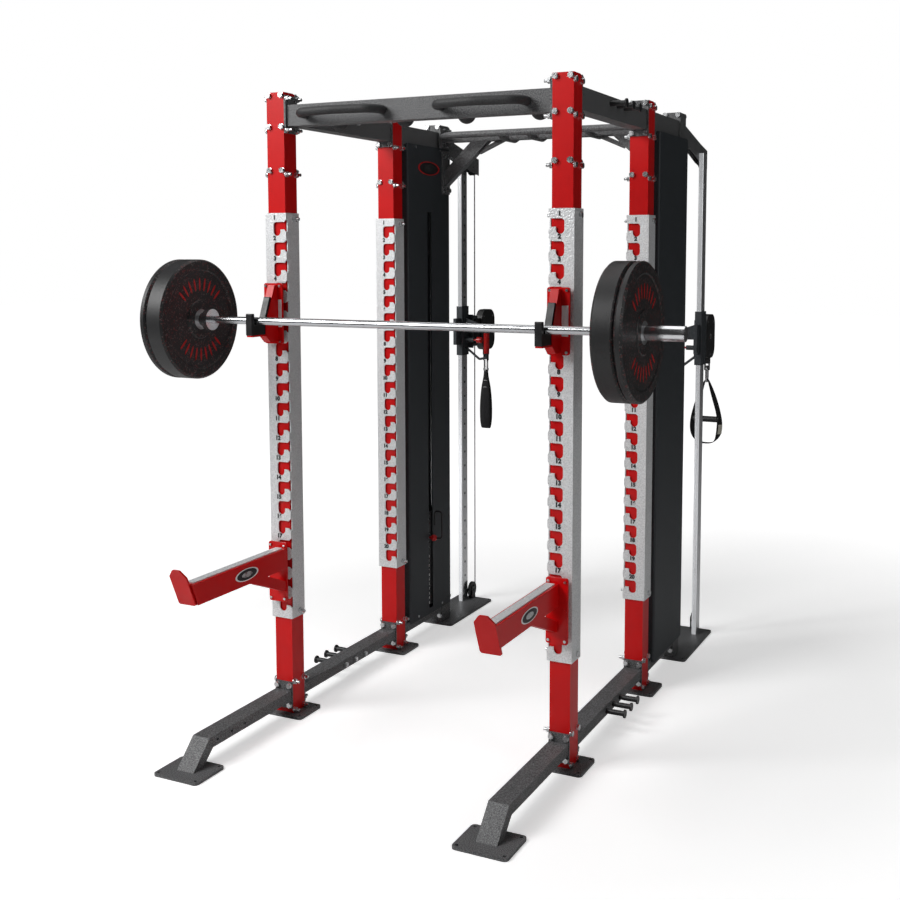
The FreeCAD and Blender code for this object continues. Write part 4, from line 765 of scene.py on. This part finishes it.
def stirrup_webbing():
    """Webbing from the link to both grip ends, and a wider foot loop below the grip.

    Its sides are turned out of the loop's plane, as a hanging strap twists.
    """
    top = LINK_BOTTOM_Z + LINK_RADIUS + 0.0085
    half = STIRRUP_HALF
    corners = [
        (0.0, top), (0.008, top - 0.002), (0.030, 1.13), (0.052, 1.065), (half, 1.010),
        (half + 0.0015, 0.970), (half - 0.003, 0.925), (half - 0.020, 0.894), (0.022, 0.8850), (0.0, 0.8845),
    ]
    right = [(place(SWIVEL_X + a, HANDLE_Y, z), z) for a, z in corners]
    left = [(place(SWIVEL_X - a, HANDLE_Y, z), z) for a, z in reversed(corners[1:-1])]
    loop = right + left
    widths = [0.024 if z > 1.15 else 0.034 if z > 0.99 else 0.042 for p, z in loop]
    directions = [STIRRUP_ACROSS if 0.90 < z < 1.15 else (0, 1, 0) for p, z in loop]
    mesh = band_mesh([p for p, z in loop], widths, 0.0045, directions)
    strap_piece("stirrup_webbing", mesh, "handle_right", "stirrup_strap")


def stirrup_patch():
    """Pale patch on the outside of the foot loop."""
    across = Vector(STIRRUP_ACROSS)
    outward = Vector(STIRRUP_OUTWARD)
    half = STIRRUP_HALF
    work = bmesh.new()
    rows = []
    for a, z in ((half + 0.0012, 0.978), (half + 0.0004, 0.955), (half - 0.002, 0.932)):
        middle = place(SWIVEL_X + a, HANDLE_Y, z) + outward * 0.0045
        rows.append([work.verts.new(middle + across * b) for b in (-0.013, 0.013)])
    for above, below in zip(rows, rows[1:]):
        work.faces.new((above[0], above[1], below[1], below[0]))
    new_piece("stirrup_patch", finished(work, "patch"), "patch_cream", "handle_right")


# ------------------------------------------------------------------ stage, light, camera
def stage():
    """Pale floor that stays close to white in the picture and still takes soft shadows."""
    floor_mesh = bpy.data.meshes.new("floor")
    half = FLOOR_HALF
    corners = [(-half, -half, 0), (half, -half, 0), (half, half, 0), (-half, half, 0)]
    floor_mesh.from_pydata(corners, [], [(0, 1, 2, 3)])
    floor = bpy.data.objects.new("floor", floor_mesh)
    bpy.context.scene.collection.objects.link(floor)
    paper = Paint("floor_paper", (0.85, 0.85, 0.85), 0.8)
    glow = paper.node("ShaderNodeEmission", Color=(1, 1, 1, 1))
    glowing = paper.tree.nodes.new("ShaderNodeAddShader")
    path = paper.tree.nodes.new("ShaderNodeLightPath")
    distance = paper.tree.nodes.new("ShaderNodeVectorMath")
    distance.operation = "LENGTH"
    paper.link(paper.position, distance.inputs[0])
    fade = paper.node("ShaderNodeMapRange", **FLOOR_FADE)
    paper.link(distance.outputs["Value"], fade.inputs["Value"])
    mix = paper.tree.nodes.new("ShaderNodeMixShader")
    paper.link(fade.outputs["Result"], glow.inputs["Strength"])
    paper.link(paper.shader.outputs[0], glowing.inputs[0])
    paper.link(glow.outputs[0], glowing.inputs[1])
    paper.link(path.outputs["Is Camera Ray"], mix.inputs[0])
    paper.link(paper.shader.outputs[0], mix.inputs[1])
    paper.link(glowing.outputs[0], mix.inputs[2])
    paper.link(mix.outputs[0], paper.tree.nodes["Material Output"].inputs["Surface"])
    floor_mesh.materials.append(paper.material)


def area_light(name, at, target, size, power):
    data = bpy.data.lights.new(name, "AREA")
    data.shape = "RECTANGLE"
    data.size, data.size_y = size
    data.energy = power
    light = bpy.data.objects.new(name, data)
    light.location = at
    light.rotation_mode = "QUATERNION"
    light.rotation_quaternion = (Vector(target) - Vector(at)).to_track_quat("-Z", "Y")
    bpy.context.scene.collection.objects.link(light)


def world():
    """White to the camera; to everything else a dim studio, brightest at the upper left front.

    Mirroring surfaces see the studio brighter by MIRROR_GLOW.
    """
    made = bpy.data.worlds.new("studio")
    bpy.context.scene.world = made
    made.use_nodes = True
    tree = made.node_tree
    background = tree.nodes["Background"]
    backdrop = tree.nodes.new("ShaderNodeBackground")
    backdrop.inputs["Color"].default_value = (1, 1, 1, 1)
    backdrop.inputs["Strength"].default_value = 1.0
    path = tree.nodes.new("ShaderNodeLightPath")
    direction = tree.nodes.new("ShaderNodeTexCoord")
    dot = tree.nodes.new("ShaderNodeVectorMath")
    dot.operation = "DOT_PRODUCT"
    dot.inputs[1].default_value = Vector(STUDIO_BRIGHT_SIDE).normalized()
    spread = tree.nodes.new("ShaderNodeMapRange")
    spread.inputs["From Min"].default_value = -1.0
    spread.inputs["To Min"].default_value = STUDIO_GLOW[0]
    spread.inputs["To Max"].default_value = STUDIO_GLOW[1]
    mix = tree.nodes.new("ShaderNodeMixShader")
    tree.links.new(direction.outputs["Generated"], dot.inputs[0])
    tree.links.new(dot.outputs["Value"], spread.inputs["Value"])
    glossy = tree.nodes.new("ShaderNodeMath")
    glossy.operation = "MULTIPLY_ADD"
    glossy.inputs[1].default_value = MIRROR_GLOW
    tree.links.new(path.outputs["Is Glossy Ray"], glossy.inputs[0])
    tree.links.new(spread.outputs["Result"], glossy.inputs[2])
    tree.links.new(glossy.outputs[0], background.inputs["Strength"])
    tree.links.new(path.outputs["Is Camera Ray"], mix.inputs[0])
    tree.links.new(background.outputs[0], mix.inputs[1])
    tree.links.new(backdrop.outputs[0], mix.inputs[2])
    tree.links.new(mix.outputs[0], tree.nodes["World Output"].inputs["Surface"])


def camera():
    data = bpy.data.cameras.new("camera")
    data.sensor_width = 36.0
    data.lens = CAMERA_LENS
    data.shift_x, data.shift_y = CAMERA_SHIFT
    cam = bpy.data.objects.new("camera", data)
    cam.location = place(*CAMERA_AT)
    forward = Vector((
        -math.sin(CAMERA_YAW) * math.cos(CAMERA_DOWN),
        math.cos(CAMERA_YAW) * math.cos(CAMERA_DOWN),
        -math.sin(CAMERA_DOWN),
    ))
    cam.rotation_mode = "QUATERNION"
    cam.rotation_quaternion = forward.to_track_quat("-Z", "Y")
    bpy.context.scene.collection.objects.link(cam)
    bpy.context.scene.camera = cam


# ------------------------------------------------------------------ the whole model
strip_numbers()
plate_numbers()
panel_screws()
mount_screws()
bumper_marks()
housing_caps()
pin_knobs()
badges()
hook_labels()
stack_cables()
ankle_cuff()
cuff_ring()
cuff_stitches()
stirrup_webbing()
stirrup_patch()

stage()
world()
area_light("key", at=(-3.2, -4.2, 4.6), target=(0, 0, 1.1), size=(3.0, 3.0), power=290)
area_light("top", at=(-0.5, 0.5, 5.2), target=(0, 0, 0.5), size=(4.0, 4.0), power=60)
area_light("side", at=(5.0, -1.5, 2.8), target=(0, 0, 1.2), size=(2.0, 3.0), power=34)
camera()
bpy.context.scene.view_settings.view_transform = "Standard"
